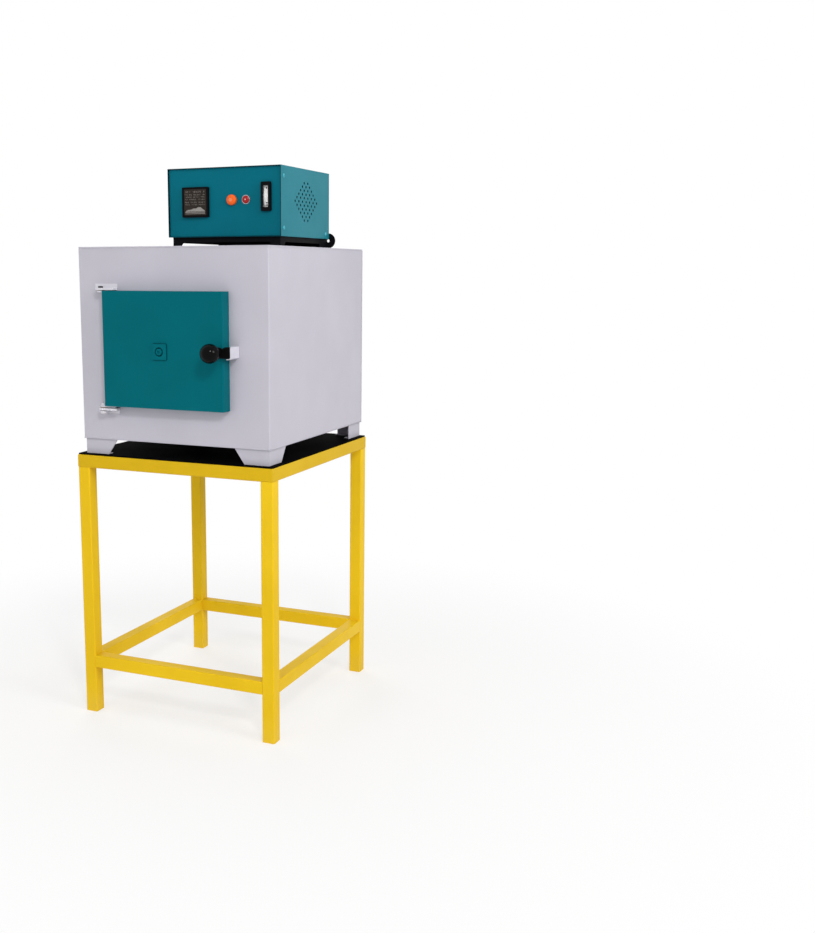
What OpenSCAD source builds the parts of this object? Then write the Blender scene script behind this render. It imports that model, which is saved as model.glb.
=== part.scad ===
/* [Stand] */
// Outer width of the stand
stand_w = 548; // [460:1:700]
// Outer depth of the stand
stand_d = 590; // [500:1:760]
// Height of the stand to the top of its upper rails
stand_h = 680; // [400:1:900]
// Side of the square steel tube
tube = 33; // [30:1:40]
// Wall of the square steel tube
tube_wall = 2; // [1.5:0.5:3]
// Outer corner radius of the tube
tube_r = 3; // [2.5:0.5:5]
// Height of the lower rails' underside over the floor
low_rail_z = 121; // [60:1:300]
// Thickness of the stand's top sheet
sheet_t = 3; // [2:0.5:5]

/* [Casing] */
// Width of the kiln casing
case_w = 522; // [440:1:640]
// Depth of the kiln casing
case_d = 576; // [480:1:700]
// Height of the casing over its feet
case_h = 473; // [390:1:580]
// Thickness of the casing's sheet steel
skin = 1.5; // [1:0.5:2]
// Radius of the casing's folded upright edges
fold_r = 3; // [2:0.5:8]
// Place of the casing's centre across the stand
case_x = 1; // [-10:1:10]
// Place of the casing's centre along the stand
case_y = 4; // [-10:1:10]
// Height of the top cover's turned-down rim
top_rim = 4; // [3:0.5:8]
// Height of the corner feet
foot_h = 38; // [25:1:60]
// Width of a front foot's faces where they meet the casing
foot_top = 92; // [60:1:120]
// Width of a front foot's faces on the ground
foot_end = 66; // [40:1:90]
// Depth of the rear feet's upright side faces
rear_foot_d = 78; // [50:1:110]
// Distance of the feet in from the casing's faces
foot_inset = 4; // [2:0.5:8]

/* [Chamber] */
// Width of the chamber between its side bricks
chamber_w = 220; // [180:1:260]
// Height of the chamber
chamber_h = 180; // [150:1:210]
// Depth of the chamber behind the mouth
chamber_d = 350; // [250:1:400]
// Thickness of the refractory bricks
brick_t = 50; // [40:1:65]
// Number of heating rod passes on each side, an even number
passes = 4; // [2:2:6]
// Diameter of the heating rod
rod_d = 6; // [4:0.5:8]
// Thickness of the hearth plate
hearth_t = 10; // [6:1:16]

/* [Door] */
// Width of the door
door_w = 332; // [300:1:380]
// Height of the door
door_h = 280; // [260:1:340]
// Depth of the door's pan
door_t = 31; // [26:1:45]
// Gap between the door and the casing
door_gap = 1; // [0.5:0.1:2]
// Place of the door's centre across the stand
door_x = -8; // [-14:1:10]
// Height of the door's centre over the casing's underside
door_z = 228; // [200:1:250]
// Depth of the tapered plug behind the door
plug_d = 49; // [30:1:50]
// Narrowing of the plug on each side over its depth
plug_taper = 14; // [12:1:20]
// Gap between the plug and the mouth
plug_gap = 2; // [1:0.5:4]
// Distance of the hinge axis out from the door's edge
hinge_out = 12; // [11:0.5:16]
// Diameter of the hinge pins
hinge_pin_d = 9; // [6:0.5:12]
// Side of the square plate at the middle of the door
centre_plate = 38; // [30:1:50]
// Place of the square plate across, from the door's centre
centre_plate_x = -5; // [-10:1:10]
// Place of the square plate up, from the door's centre
centre_plate_z = -3; // [-10:1:10]

/* [Latch] */
// Distance of the latch spindle in from the door's free edge
latch_in = 11; // [10:0.5:16]
// Diameter of the ball knob
knob_d = 46; // [40:1:54]
// Distance of the ball's centre from the door's face
knob_out = 44; // [40:1:60]
// Width of the latch tongue
tongue_w = 27; // [20:0.5:30]
// Reach of the tongue from the spindle's axis
tongue_reach = 30.5; // [25:0.5:32]
// Diameter of the latch spindle
spindle_d = 8; // [6:0.5:10]

/* [Control box] */
// Width of the control box
box_w = 310; // [270:1:360]
// Depth of the control box
box_d = 286; // [240:1:340]
// Height of the control box
box_h = 165; // [140:1:200]
// Height of the black base under the control box
base_h = 24; // [20:1:40]
// Distance of the box's right side from the stand's middle
box_right = 233; // [200:1:240]
// Distance of the box's front from the stand's middle
box_front_y = -158; // [-200:1:-120]
// Distance of the front panel behind the box's rim
panel_recess = 5; // [2:0.5:8]
// Thickness of the control box's sheet
box_skin = 1.5; // [1:0.5:2]
// Diameter of the vent holes
vent_d = 6.5; // [4:0.5:7]
// Vent pitch along the box
vent_pitch_y = 10.6; // [9:0.1:11]
// Vent pitch up the box
vent_pitch_z = 9; // [7.5:0.1:9.5]
// Outer diameter of the base's rear ears
ear_d = 38; // [32:1:44]
// Diameter of the hole in each ear
ear_hole = 8; // [5:0.5:10]

/* [Controls] */
// Width of the temperature controller's bezel
ctrl_w = 72; // [60:1:80]
// Height of the temperature controller's bezel
ctrl_h = 72; // [60:1:80]
// Diameter of the start button
start_d = 25.5; // [20:0.5:30]
// Travel of the start button
start_travel = 4; // [2:0.5:5]
// Diameter of the stop button
stop_d = 18.5; // [14:0.5:20]
// Travel of the stop button
stop_travel = 3; // [2:0.5:4]
// Width of the meter's bezel
meter_w = 25; // [24:0.5:30]
// Height of the meter's bezel
meter_h = 68; // [64:1:76]
// Width of the meter's scale
scale_w = 12; // [10:0.5:13]
// Radius of the meter's curved scale
scale_r = 75; // [70:1:80]
// Half of the meter pointer's swing
swing = 16; // [12:1:17]

/* [Hidden] */
$fn = 64;

YELLOW = "#e0b81c";
BLACK = "#141416";
LILAC = "#bdbac4";
TEAL = "#00646e";
BRICK = "#e9e2d0";
FIBRE = "#f3f1ea";
STEEL = "#b9bcc0";

// Clearance round fixed pieces that pass through a hole
fit = 0.3;
// Radial clearance of running fits
run = 0.1;

// Centre lines of the stand's tubes
rail_y_place = (stand_d - tube) / 2;
rail_x_place = (stand_w - tube) / 2;

// Casing, from the stand's top
case_z = stand_h + sheet_t + foot_h;
case_x0 = case_x - case_w / 2;
case_y0 = case_y - case_d / 2;
case_y1 = case_y + case_d / 2;
case_top = case_z + case_h;
floor_t = 2;

// Door and chamber share one centre line
centre_z = case_z + door_z;
door_y1 = case_y0 - door_gap;
door_y0 = door_y1 - door_t;
plug_w = chamber_w - 2;
plug_h = chamber_h - 2;
mouth_d = plug_d + 2;
collar_y0 = case_y0 + skin;
collar_y1 = collar_y0 + mouth_d;
chamber_y1 = collar_y1 + chamber_d;
brick_y1 = chamber_y1 + brick_t;
brick_w = chamber_w + 2 * brick_t;
brick_h = chamber_h + 2 * brick_t;
sheet_opening = 12;

// Heating rods: passes up each side, bends at both ends, tails out of the rear
pass_h = chamber_h - 36;
pass_step = pass_h / (passes - 1);
groove = rod_d + 4;
rod_inset = groove / 2 + 1;
rod_y0 = collar_y1 + 24;
bend_r = pass_step / 2;
bend_y0 = rod_y0 + bend_r;
bend_y1 = chamber_y1 - 8 - bend_r;
carrier_t = 12;
rod_slot = 14;
tail_y1 = case_y1 + carrier_t + 14;
probe_up = 30;
cover_w = brick_w - 20;
cover_h = pass_h + 2 * rod_slot + 40;
cover_d = 48;

// Height of one pass of a heating rod
function pass_z(i) = centre_z + (i - (passes - 1) / 2) * pass_step;

// Centre of the heating rods on one side
function side_x(s) = door_x + s * (chamber_w / 2 + rod_inset);

// Hinge
hinge_x = door_x - door_w / 2 - hinge_out;
hinge_y = (door_y0 + door_y1) / 2;
lug_t = 5;
lug_r = 13;
tab_t = 4;
tab_r = 9;
tab_reach = 25;
boss_d = 13;
boss_h = 9.5;
lug_gap_top = 1.5;
lug_gap_bottom = 6;
tab_z0 = centre_z - door_h / 2 - tab_t;
tab_z1 = centre_z + door_h / 2 - tab_t;
lug_z0 = centre_z - door_h / 2 - lug_gap_bottom - lug_t;
lug_z1 = centre_z + door_h / 2 + lug_gap_top;

// Latch
latch_x = door_x + door_w / 2 - latch_in;
tongue_t = 6;
bush_flange = 2;
tongue_y1 = door_y0 - bush_flange - 0.1;
tongue_y0 = tongue_y1 - tongue_t;
knob_y = door_y0 - knob_out;
hub_r = 7;
catch_x0 = door_x + door_w / 2 + 4;
catch_wall_x = latch_x + tongue_reach + 4;
catch_t = 2;
catch_top = 13.5;
ledge_gap = 0.6;
ledge_w = 10;

// Control box
box_x0 = box_right - box_w;
box_y1 = box_front_y + box_d;
box_z0 = case_top + base_h;
box_z1 = box_z0 + box_h;
panel_y = box_front_y + panel_recess;
panel_back = panel_y + box_skin;
controls_z = box_z0 + 87;
ctrl_x = box_right - 232;
ctrl_drop = -3.5;
start_x = box_right - 133.5;
stop_x = box_right - 94.7;
meter_x = box_right - 39.6;
meter_z = box_z0 + 93;
bezel_t = 8;
pivot_y = panel_y - bezel_t + 2 + scale_r + 1.6;
screw_y = 15;
screw_z = 20;
frame_w = 30;
base_inset = 7;
base_t = 2;
base_x0 = box_x0 + base_inset;
base_x1 = box_right - base_inset;
base_y0 = box_front_y + 10;
ear_t = 3;
ear_z = case_top + ear_d / 2 + 0.5;
ear_xs = [base_x0 - 4.7, base_x1 + 4.7];
gland_places = [[box_right - 60, box_z0 + 34], [box_right - 110, box_z0 + 34]];

// Places of the three screws of a side panel in the YZ plane
screw_places = [[box_front_y + screw_y, box_z0 + screw_z], [box_front_y + screw_y, box_z1 - screw_z - 4],
    [box_y1 - screw_y - 8, box_z0 + 12]];

// Points of an arc from angle a0 to a1 about a centre
function arc(c, r, a0, a1, n = 5) =
    [for (i = [0:n]) c + r * [cos(a0 + (a1 - a0) * i / n), sin(a0 + (a1 - a0) * i / n)]];

// Outline of a rectangle with rounded corners, centred
function round_rect(w, d, r) = concat(
    arc([w / 2 - r, d / 2 - r], r, 0, 90),
    arc([-w / 2 + r, d / 2 - r], r, 90, 180),
    arc([-w / 2 + r, -d / 2 + r], r, 180, 270),
    arc([w / 2 - r, -d / 2 + r], r, 270, 360));

// Outline of a pan seen from above: its two front corners are rounded
function pan_outline(w, d, r) = concat(
    [[w / 2, d], [-w / 2, d]],
    arc([-w / 2 + r, r], r, 180, 270),
    arc([w / 2 - r, r], r, 270, 360));

// Square tube along Z with rounded edges
module square_tube(len) {
    inner = tube - 2 * tube_wall;
    linear_extrude(len) difference() {
        polygon(round_rect(tube, tube, tube_r));
        polygon(round_rect(inner, inner, tube_r - tube_wall));
    }
}

// Sheet or block from one corner to the opposite one
module block(a, b) {
    translate(a) cube(b - a);
}

// Upright plate in the XZ plane, from its outline
module plate_xz(y0, y1, points) {
    translate([0, y1, 0]) rotate([90, 0, 0]) linear_extrude(y1 - y0) polygon(points);
}

// Upright plate in the YZ plane, from its outline
module plate_yz(x0, x1, points) {
    translate([x0, 0, 0]) rotate([90, 0, 90]) linear_extrude(x1 - x0) polygon(points);
}

// Cylinder along Y between two places
module rod_y(x, z, y0, y1, d) {
    translate([x, y1, z]) rotate([90, 0, 0]) cylinder(d = d, h = y1 - y0);
}

// Tapered block about the chamber's line, wide at the front
module taper_block(y0, w, h, depth, taper) {
    intersection() {
        translate([door_x, 0, centre_z - h]) linear_extrude(2 * h)
            polygon([[-w / 2, y0], [w / 2, y0], [w / 2 - taper, y0 + depth],
                [-w / 2 + taper, y0 + depth]]);
        plate_yz(door_x - w, door_x + w, [[y0, centre_z - h / 2], [y0 + depth, centre_z - h / 2 + taper],
            [y0 + depth, centre_z + h / 2 - taper], [y0, centre_z + h / 2]]);
    }
}

// Four tube legs, each closed with a welded plate at the floor
module stand_legs() {
    color(YELLOW)
    for (sx = [-1, 1], sy = [-1, 1])
        translate([sx * (stand_w - tube) / 2, sy * (stand_d - tube) / 2, 0]) {
            square_tube(stand_h - tube);
            linear_extrude(tube_wall) polygon(round_rect(tube, tube, tube_r));
        }
}

// Rail across the stand, on one of its long faces
module rail_x(len, y, z) {
    color(YELLOW) translate([-len / 2, y, z + tube / 2]) rotate([90, 0, 90]) square_tube(len);
}

// Rail along the stand
module rail_y(len, x, z) {
    color(YELLOW) translate([x, len / 2, z + tube / 2]) rotate([90, 0, 0]) square_tube(len);
}

// Upper rails, mitred at the four corners
module top_rail_front() mitred(-90) rail_x(stand_w, -rail_y_place, stand_h - tube);
module top_rail_rear() mitred(90) rail_x(stand_w, rail_y_place, stand_h - tube);
module top_rail_left() mitred(180) rail_y(stand_d, -rail_x_place, stand_h - tube);
module top_rail_right() mitred(0) rail_y(stand_d, rail_x_place, stand_h - tube);

// Keeps one side of the upper frame, cut at 45 degrees through its corners
module mitred(side) {
    half = abs(side) == 90 ? [stand_d / 2, stand_w / 2] : [stand_w / 2, stand_d / 2];
    intersection() {
        children();
        rotate([0, 0, side]) linear_extrude(stand_h + 1)
            polygon([[half.x + 1, -half.y - 1], [half.x + 1, half.y + 1],
                [half.x - 2 * tube, half.y - 2 * tube], [half.x - 2 * tube, -half.y + 2 * tube]]);
    }
}

// Lower rails between the legs
module low_rail_front() rail_x(stand_w - 2 * tube, -rail_y_place, low_rail_z);
module low_rail_rear() rail_x(stand_w - 2 * tube, rail_y_place, low_rail_z);
module low_rail_left() rail_y(stand_d - 2 * tube, -rail_x_place, low_rail_z);
module low_rail_right() rail_y(stand_d - 2 * tube, rail_x_place, low_rail_z);

// Black sheet that covers the stand and carries the kiln
module stand_sheet() {
    color(BLACK) translate([0, 0, stand_h]) linear_extrude(sheet_t)
        polygon(round_rect(stand_w - 2, stand_d - 2, tube_r));
}

// Folded wrap: left side, front with the mouth, right side and two rear flanges
module casing_body() {
    rear_flange = 22;
    wrap_d = case_d - skin;
    color(LILAC) difference() {
        translate([case_x, case_y - skin / 2, case_z]) linear_extrude(case_h - top_rim) difference() {
            polygon(round_rect(case_w, wrap_d, fold_r));
            polygon(round_rect(case_w - 2 * skin, wrap_d - 2 * skin, fold_r - skin));
            translate([-case_w / 2 + rear_flange, wrap_d / 2 - fold_r])
                square([case_w - 2 * rear_flange, 2 * fold_r]);
        }
        block([door_x - plug_w / 2 - sheet_opening, case_y0 - skin, centre_z - plug_h / 2 - sheet_opening],
            [door_x + plug_w / 2 + sheet_opening, case_y0 + 3 * skin, centre_z + plug_h / 2 + sheet_opening]);
    }
}

// Top cover: a flat sheet with a turned-down rim
module casing_top() {
    shade = 0.5;
    color(LILAC) translate([case_x, case_y, case_top - top_rim + shade]) difference() {
        linear_extrude(top_rim - shade) polygon(round_rect(case_w, case_d, fold_r));
        translate([0, 0, -skin]) linear_extrude(top_rim - shade)
            polygon(round_rect(case_w - 2 * skin, case_d - 2 * skin, fold_r - skin));
    }
    color(LILAC) translate([case_x, case_y, case_top - top_rim]) linear_extrude(shade) difference() {
        polygon(round_rect(case_w - 2, case_d - 2, fold_r - 1));
        polygon(round_rect(case_w - 2 * skin, case_d - 2 * skin, fold_r - skin));
    }
}

// One corner foot, folded from sheet; the front ones have their inner ends cut to a slope
module corner_foot(front) {
    flange = 18;
    sloped = [[0, 0], [foot_end, 0], [foot_top, foot_h], [0, foot_h]];
    plate_xz(0, floor_t, front ? sloped : [[0, 0], [foot_end, 0], [foot_end, foot_h], [0, foot_h]]);
    plate_yz(0, floor_t, front ? sloped : [[0, 0], [rear_foot_d, 0], [rear_foot_d, foot_h], [0, foot_h]]);
    block([0, 0, 0], [foot_end, flange, floor_t]);
    block([0, 0, 0], [flange, foot_end, floor_t]);
}

// Four corner feet welded under the casing
module casing_feet() {
    x0 = case_w / 2 - foot_inset;
    y0 = case_d / 2 - foot_inset;
    color(LILAC)
    for (mx = [0, 1], my = [0, 1])
        translate([case_x, case_y, stand_h + sheet_t]) mirror([mx, 0, 0]) mirror([0, my, 0])
            translate([-x0, -y0, 0]) corner_foot(my == 0);
}

// Floor sheet inside the casing's wrap
module casing_floor() {
    color(LILAC) translate([case_x, case_y - skin / 2, case_z]) linear_extrude(floor_t)
        polygon(round_rect(case_w - 2 * skin - fit, case_d - 3 * skin - fit, fold_r - skin));
}

// Rear panel with vent slots, the thermocouple hole and a slot for each pair of rod ends
module casing_rear() {
    slot_w = 60;
    slots = 6;
    color(LILAC) difference() {
        block([case_x0, case_y1 - skin, case_z], [case_x0 + case_w, case_y1, case_top - top_rim]);
        for (i = [0:slots - 1], s = [-1, 1])
            translate([case_x + s * 170 - slot_w / 2, case_y1 - 2 * skin, case_z + 40 + 12 * i])
                cube([slot_w, 3 * skin, 4]);
        for (s = [-1, 1])
            block([side_x(s) - rod_slot / 2, case_y1 - 2 * skin, centre_z - pass_h / 2 - rod_slot / 2],
                [side_x(s) + rod_slot / 2, case_y1 + 1, centre_z + pass_h / 2 + rod_slot / 2]);
        rod_y(door_x, centre_z + probe_up, case_y1 - 2 * skin, case_y1 + 1, 10);
    }
}

// Perforated guard over the heating rods' terminals
module terminal_cover() {
    y1 = case_y1 + cover_d;
    color(LILAC) difference() {
        block([door_x - cover_w / 2, case_y1, centre_z - cover_h / 2],
            [door_x + cover_w / 2, y1, centre_z + cover_h / 2]);
        block([door_x - cover_w / 2 + skin, case_y1 - 1, centre_z - cover_h / 2 + skin],
            [door_x + cover_w / 2 - skin, y1 - skin, centre_z + cover_h / 2 - skin]);
        for (i = [-8:8], k = [-2:2])
            translate([door_x + i * 16 - 3, y1 - 2 * skin, centre_z + k * 24 - 8]) cube([6, 3 * skin, 16]);
        translate([door_x, case_y1 + cover_d / 2, centre_z + cover_h / 2 - 2 * skin])
            cylinder(d = 20, h = 4 * skin);
    }
}

// Ceramic blocks that hold the rods' ends in the rear guard
module ceramic_terminals() {
    half = pass_h / 2 + rod_slot + 8;
    color("#efece4") for (s = [-1, 1]) difference() {
        block([side_x(s) - rod_slot, case_y1, centre_z - half],
            [side_x(s) + rod_slot, case_y1 + carrier_t, centre_z + half]);
        for (i = [0, passes - 1])
            rod_y(side_x(s), pass_z(i), case_y1 - 1, case_y1 + carrier_t + 1, rod_d + 2 * run);
    }
}

// Fibre boards between the bricks and the casing
module backing_boards() {
    x0 = case_x0 + skin + fit;
    x1 = case_x0 + case_w - skin - fit;
    z0 = case_z + floor_t;
    z1 = case_top - top_rim - fit;
    y0 = collar_y0;
    y1 = case_y1 - 2 * skin - fit;
    bx0 = door_x - brick_w / 2;
    bx1 = door_x + brick_w / 2;
    bz0 = centre_z - brick_h / 2;
    bz1 = centre_z + brick_h / 2;
    color(FIBRE) {
        block([x0 + 3, y0 + 1, z0], [x1 - 3, y1, bz0 - fit]);
        block([x0 + 3, y0 + 1, bz1 + fit], [x1 - 3, y1, z1]);
        block([x0 + 3, y0 + 1, bz0], [bx0 - fit, y1, bz1]);
        block([bx1 + fit, y0 + 1, bz0], [x1 - 3, y1, bz1]);
        difference() {
            block([bx0, brick_y1 + fit, bz0], [bx1, y1, bz1]);
            rear_holes(brick_y1, y1 + 1);
        }
    }
}

// Holes for the rods' tails and the thermocouple
module rear_holes(y0, y1) {
    for (s = [-1, 1], i = [0, passes - 1]) rod_y(side_x(s), pass_z(i), y0 - 1, y1 + 1, rod_d + 1);
    rod_y(door_x, centre_z + probe_up, y0 - 1, y1 + 1, 9);
}

// Hearth brick under the chamber
module brick_floor() {
    color(BRICK) block([door_x - brick_w / 2, collar_y1, centre_z - brick_h / 2],
        [door_x + brick_w / 2, chamber_y1, centre_z - chamber_h / 2]);
}

// Roof brick over the chamber
module brick_roof() {
    color(BRICK) block([door_x - brick_w / 2, collar_y1, centre_z + chamber_h / 2],
        [door_x + brick_w / 2, chamber_y1, centre_z + brick_h / 2]);
}

// Side brick with one open groove for each pass of the rod and the bends
module brick_side(s) {
    inner = door_x + s * chamber_w / 2;
    outer = door_x + s * brick_w / 2;
    lo = min(inner, outer);
    hi = max(inner, outer);
    color(BRICK) difference() {
        block([lo, collar_y1, centre_z - chamber_h / 2], [hi, chamber_y1, centre_z + chamber_h / 2]);
        for (i = [0:passes - 1])
            translate([side_x(s), rod_y0, pass_z(i)]) groove_cut(s, chamber_y1 - rod_y0 + 1);
        for (i = [0:2:passes - 2])
            bend_pocket(s, rod_y0 - groove / 2, bend_y0, pass_z(i) - groove / 2, pass_z(i + 1) + groove / 2);
        for (i = [1:2:passes - 3])
            bend_pocket(s, bend_y1, chamber_y1 + 1, pass_z(i) - groove / 2, pass_z(i + 1) + groove / 2);
    }
}

// Straight groove, open towards the chamber
module groove_cut(s, len) {
    rotate([-90, 0, 0]) cylinder(d = groove, h = len);
    translate([s > 0 ? -groove : 0, 0, -groove / 2 + 1]) cube([groove, len, groove - 2]);
}

// Pocket for a bend of the rod, open towards the chamber
module bend_pocket(s, y0, y1, z0, z1) {
    deep = side_x(s) + s * groove / 2;
    open = door_x + s * (chamber_w / 2 - 1);
    block([min(deep, open), y0, z0], [max(deep, open), y1, z1]);
}
module brick_left() brick_side(-1);
module brick_right() brick_side(1);

// Rear brick with holes for the rods and the thermocouple
module brick_rear() {
    color(BRICK) difference() {
        block([door_x - brick_w / 2, chamber_y1, centre_z - brick_h / 2],
            [door_x + brick_w / 2, brick_y1, centre_z + brick_h / 2]);
        rear_holes(chamber_y1, brick_y1);
    }
}

// Refractory frame round the tapered mouth
module mouth_collar() {
    color(BRICK) difference() {
        block([door_x - brick_w / 2, collar_y0, centre_z - brick_h / 2],
            [door_x + brick_w / 2, collar_y1, centre_z + brick_h / 2]);
        taper_block(collar_y0 - 2, plug_w + 2 * plug_gap + 1, plug_h + 2 * plug_gap + 1, mouth_d + 4,
            plug_taper * (mouth_d + 4) / plug_d);
    }
}

// Loose ceramic plate that the work stands on
module hearth_plate() {
    color("#d8d0bd") translate([door_x, (collar_y1 + chamber_y1) / 2, centre_z - chamber_h / 2])
        linear_extrude(hearth_t) polygon(round_rect(chamber_w - 16, chamber_d - 30, 8));
}

// Heating rod that runs back and forth in the grooves and leaves through the rear
module element(s) {
    color("#6a6660") {
        for (i = [0, passes - 1])
            rod_y(side_x(s), pass_z(i), bend_y0, tail_y1, rod_d);
        for (i = [1:1:passes - 2])
            rod_y(side_x(s), pass_z(i), bend_y0, bend_y1, rod_d);
        for (i = [0:2:passes - 2])
            translate([side_x(s), bend_y0, (pass_z(i) + pass_z(i + 1)) / 2]) bend(1);
        for (i = [1:2:passes - 3])
            translate([side_x(s), bend_y1, (pass_z(i) + pass_z(i + 1)) / 2]) bend(-1);
    }
}

// Half ring in the YZ plane that closes two passes
module bend(front) {
    rotate([90, 0, 90]) rotate([0, 0, front > 0 ? 90 : -90])
        rotate_extrude(angle = 180) translate([bend_r, 0]) circle(d = rod_d);
}

// Both heating rods
module heating_rods() {
    for (s = [-1, 1]) element(s);
}

// Ceramic sheath with its connection head at the rear
module thermocouple() {
    x = door_x;
    z = centre_z + probe_up;
    color("#e8e4da") rod_y(x, z, chamber_y1 - 35, case_y1 + 12, 8);
    color(STEEL) rod_y(x, z, case_y1 + 12, case_y1 + 36, 22);
}

// Outline of a hinge lug: a plate that widens to the casing, with a round nose
module lug_outline() {
    back = case_y0;
    translate([hinge_x, hinge_y]) circle(r = lug_r);
    polygon([[hinge_x - 25, back], [hinge_x + 37, back], [hinge_x + 43, hinge_y - lug_r + 3],
        [hinge_x + 40, hinge_y - lug_r + 1], [hinge_x, hinge_y - lug_r + 1], [hinge_x - lug_r + 1, hinge_y]]);
}

// Lug with an upright flange on the casing, up or down
module hinge_lug(z, up) {
    flange_h = 15;
    flange_z = up > 0 ? z : z + lug_t - flange_h;
    color("#e6e5ea") difference() {
        union() {
            translate([0, 0, z]) linear_extrude(lug_t) lug_outline();
            block([hinge_x - 25, case_y0 - 2, flange_z], [hinge_x + 37, case_y0, flange_z + flange_h]);
        }
        translate([hinge_x, hinge_y, z - 1]) cylinder(d = hinge_pin_d + 2 * run, h = lug_t + 2);
    }
}
module hinge_lug_top() hinge_lug(lug_z1, 1);
module hinge_lug_bottom() hinge_lug(lug_z0, -1);

// Upper pin with its head over the lug, and lower pin with a domed nut under the lug
module hinge_pins() {
    top = lug_z1 + lug_t;
    dome_r = 10.5;
    dome_h = 9;
    neck = 2;
    sink = 0.5;
    color("#3a3a3e") translate([hinge_x, hinge_y, 0]) {
        translate([0, 0, tab_z1 + sink]) cylinder(d = hinge_pin_d, h = top - tab_z1 - sink);
        translate([0, 0, top]) rotate_extrude() polygon([[0, 0], [6, 0], [6, 3.5], [5, 4.5], [0, 4.5]]);
    }
    color("#e6e5ea") translate([hinge_x, hinge_y, 0]) {
        translate([0, 0, lug_z0]) cylinder(d = hinge_pin_d, h = tab_z0 + boss_h - sink - lug_z0);
        translate([0, 0, lug_z0 - neck]) cylinder(d = hinge_pin_d + 4, h = neck);
        translate([0, 0, lug_z0 - neck - dome_h]) rotate_extrude()
            polygon(concat([[0, dome_h], [dome_r, dome_h], [dome_r, dome_h - 3]],
                [for (a = [15:15:90]) [dome_r * cos(a), (dome_h - 3) * (1 - sin(a))]]));
    }
}

// Thrust washers between the lugs and the door's tabs
module hinge_washers() {
    slack = 0.05;
    color("#b9923c") {
        washer(lug_z0 + lug_t, tab_z0 - slack);
        washer(tab_z1 + tab_t + slack, lug_z1);
    }
}
module washer(z0, z1) {
    translate([hinge_x, hinge_y, z0]) difference() {
        cylinder(d = 17, h = z1 - z0);
        translate([0, 0, -1]) cylinder(d = hinge_pin_d + 2 * run, h = z1 - z0 + 2);
    }
}

// Catch for the tongue: a ledge, an end wall and a fixing flange, open in front and above
module catch_bracket() {
    y0 = tongue_y0 - 1.5;
    z0 = centre_z - tongue_w / 2 - ledge_gap - catch_t;
    z1 = centre_z + catch_top;
    color("#eceaf0") {
        block([catch_wall_x - ledge_w, y0, z0], [catch_wall_x, case_y0, z0 + catch_t]);
        block([catch_wall_x, y0, z0], [catch_wall_x + catch_t, case_y0, z1]);
        block([catch_x0, case_y0 - 2, z0], [catch_wall_x, case_y0, z1]);
    }
}

// Door pan: folded sheet, open at the back inside a return flange
module door_pan() {
    back_flange = 14;
    z0 = centre_z - door_h / 2;
    color(TEAL) difference() {
        translate([door_x, door_y0, z0]) linear_extrude(door_h) polygon(pan_outline(door_w, door_t, fold_r));
        translate([door_x, door_y0 + skin, z0 + skin]) linear_extrude(door_h - 2 * skin)
            polygon(pan_outline(door_w - 2 * skin, door_t - 2 * skin, fold_r - skin));
        block([door_x - door_w / 2 + back_flange, door_y1 - 2 * skin, z0 + back_flange],
            [door_x + door_w / 2 - back_flange, door_y1 + 1, z0 + door_h - back_flange]);
        rod_y(door_x + centre_plate_x, centre_z + centre_plate_z, door_y0 - 1, door_y0 + 3, 11);
        rod_y(latch_x, centre_z, door_y0 - 1, door_y0 + 3, 14 + 2 * run);
    }
}

// Fibre board that fills the pan
module door_fibre() {
    z0 = centre_z - door_h / 2 + skin + fit;
    color(FIBRE) difference() {
        block([door_x - door_w / 2 + skin + 4, door_y0 + skin + fit, z0],
            [door_x + door_w / 2 - skin - 4, door_y1 - skin - fit, z0 + door_h - 2 * (skin + fit)]);
        rod_y(door_x + centre_plate_x, centre_z + centre_plate_z, door_y0, door_y1, 11);
        rod_y(latch_x, centre_z, door_y0, door_y1, 26);
    }
}

// Tapered refractory plug that closes the mouth
module door_plug() {
    seat = skin + fit;
    color(BRICK) difference() {
        union() {
            taper_block(door_y1, plug_w, plug_h, plug_d, plug_taper);
            block([door_x - plug_w / 2, door_y1 - seat, centre_z - plug_h / 2],
                [door_x + plug_w / 2, door_y1, centre_z + plug_h / 2]);
        }
        rod_y(door_x + centre_plate_x, centre_z + centre_plate_z, door_y0, door_y1 + 24, 11);
        rod_y(door_x + centre_plate_x, centre_z + centre_plate_z, door_y1 + 14, door_y1 + 24, 24);
    }
}

// Square plate with a counterbore for the bolt
module door_centre_plate() {
    px = door_x + centre_plate_x;
    pz = centre_z + centre_plate_z;
    color(TEAL) difference() {
        translate([px, door_y0, pz]) rotate([90, 0, 0]) linear_extrude(4)
            polygon(round_rect(centre_plate, centre_plate, 2));
        rod_y(px, pz, door_y0 - 5, door_y0 - 1.5, 22);
        rod_y(px, pz, door_y0 - 5, door_y0 + 1, 11);
    }
}

// Socket-head bolt through the door, with the anchor nut inside the plug
module door_centre_bolt() {
    px = door_x + centre_plate_x;
    pz = centre_z + centre_plate_z;
    color(TEAL) difference() {
        union() {
            rod_y(px, pz, door_y0 - 1.5, door_y1 + 22, 10);
            rod_y(px, pz, door_y0 - 5.5, door_y0 - 1.5, 16);
        }
        translate([px, door_y0 - 3, pz]) rotate([90, 0, 0]) cylinder(d = 8, h = 4, $fn = 6);
    }
    color(STEEL) difference() {
        rod_y(px, pz, door_y1 + 14, door_y1 + 22, 23.4);
        rod_y(px, pz, door_y1 + 13, door_y1 + 23, 10 + 2 * run);
    }
}

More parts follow.
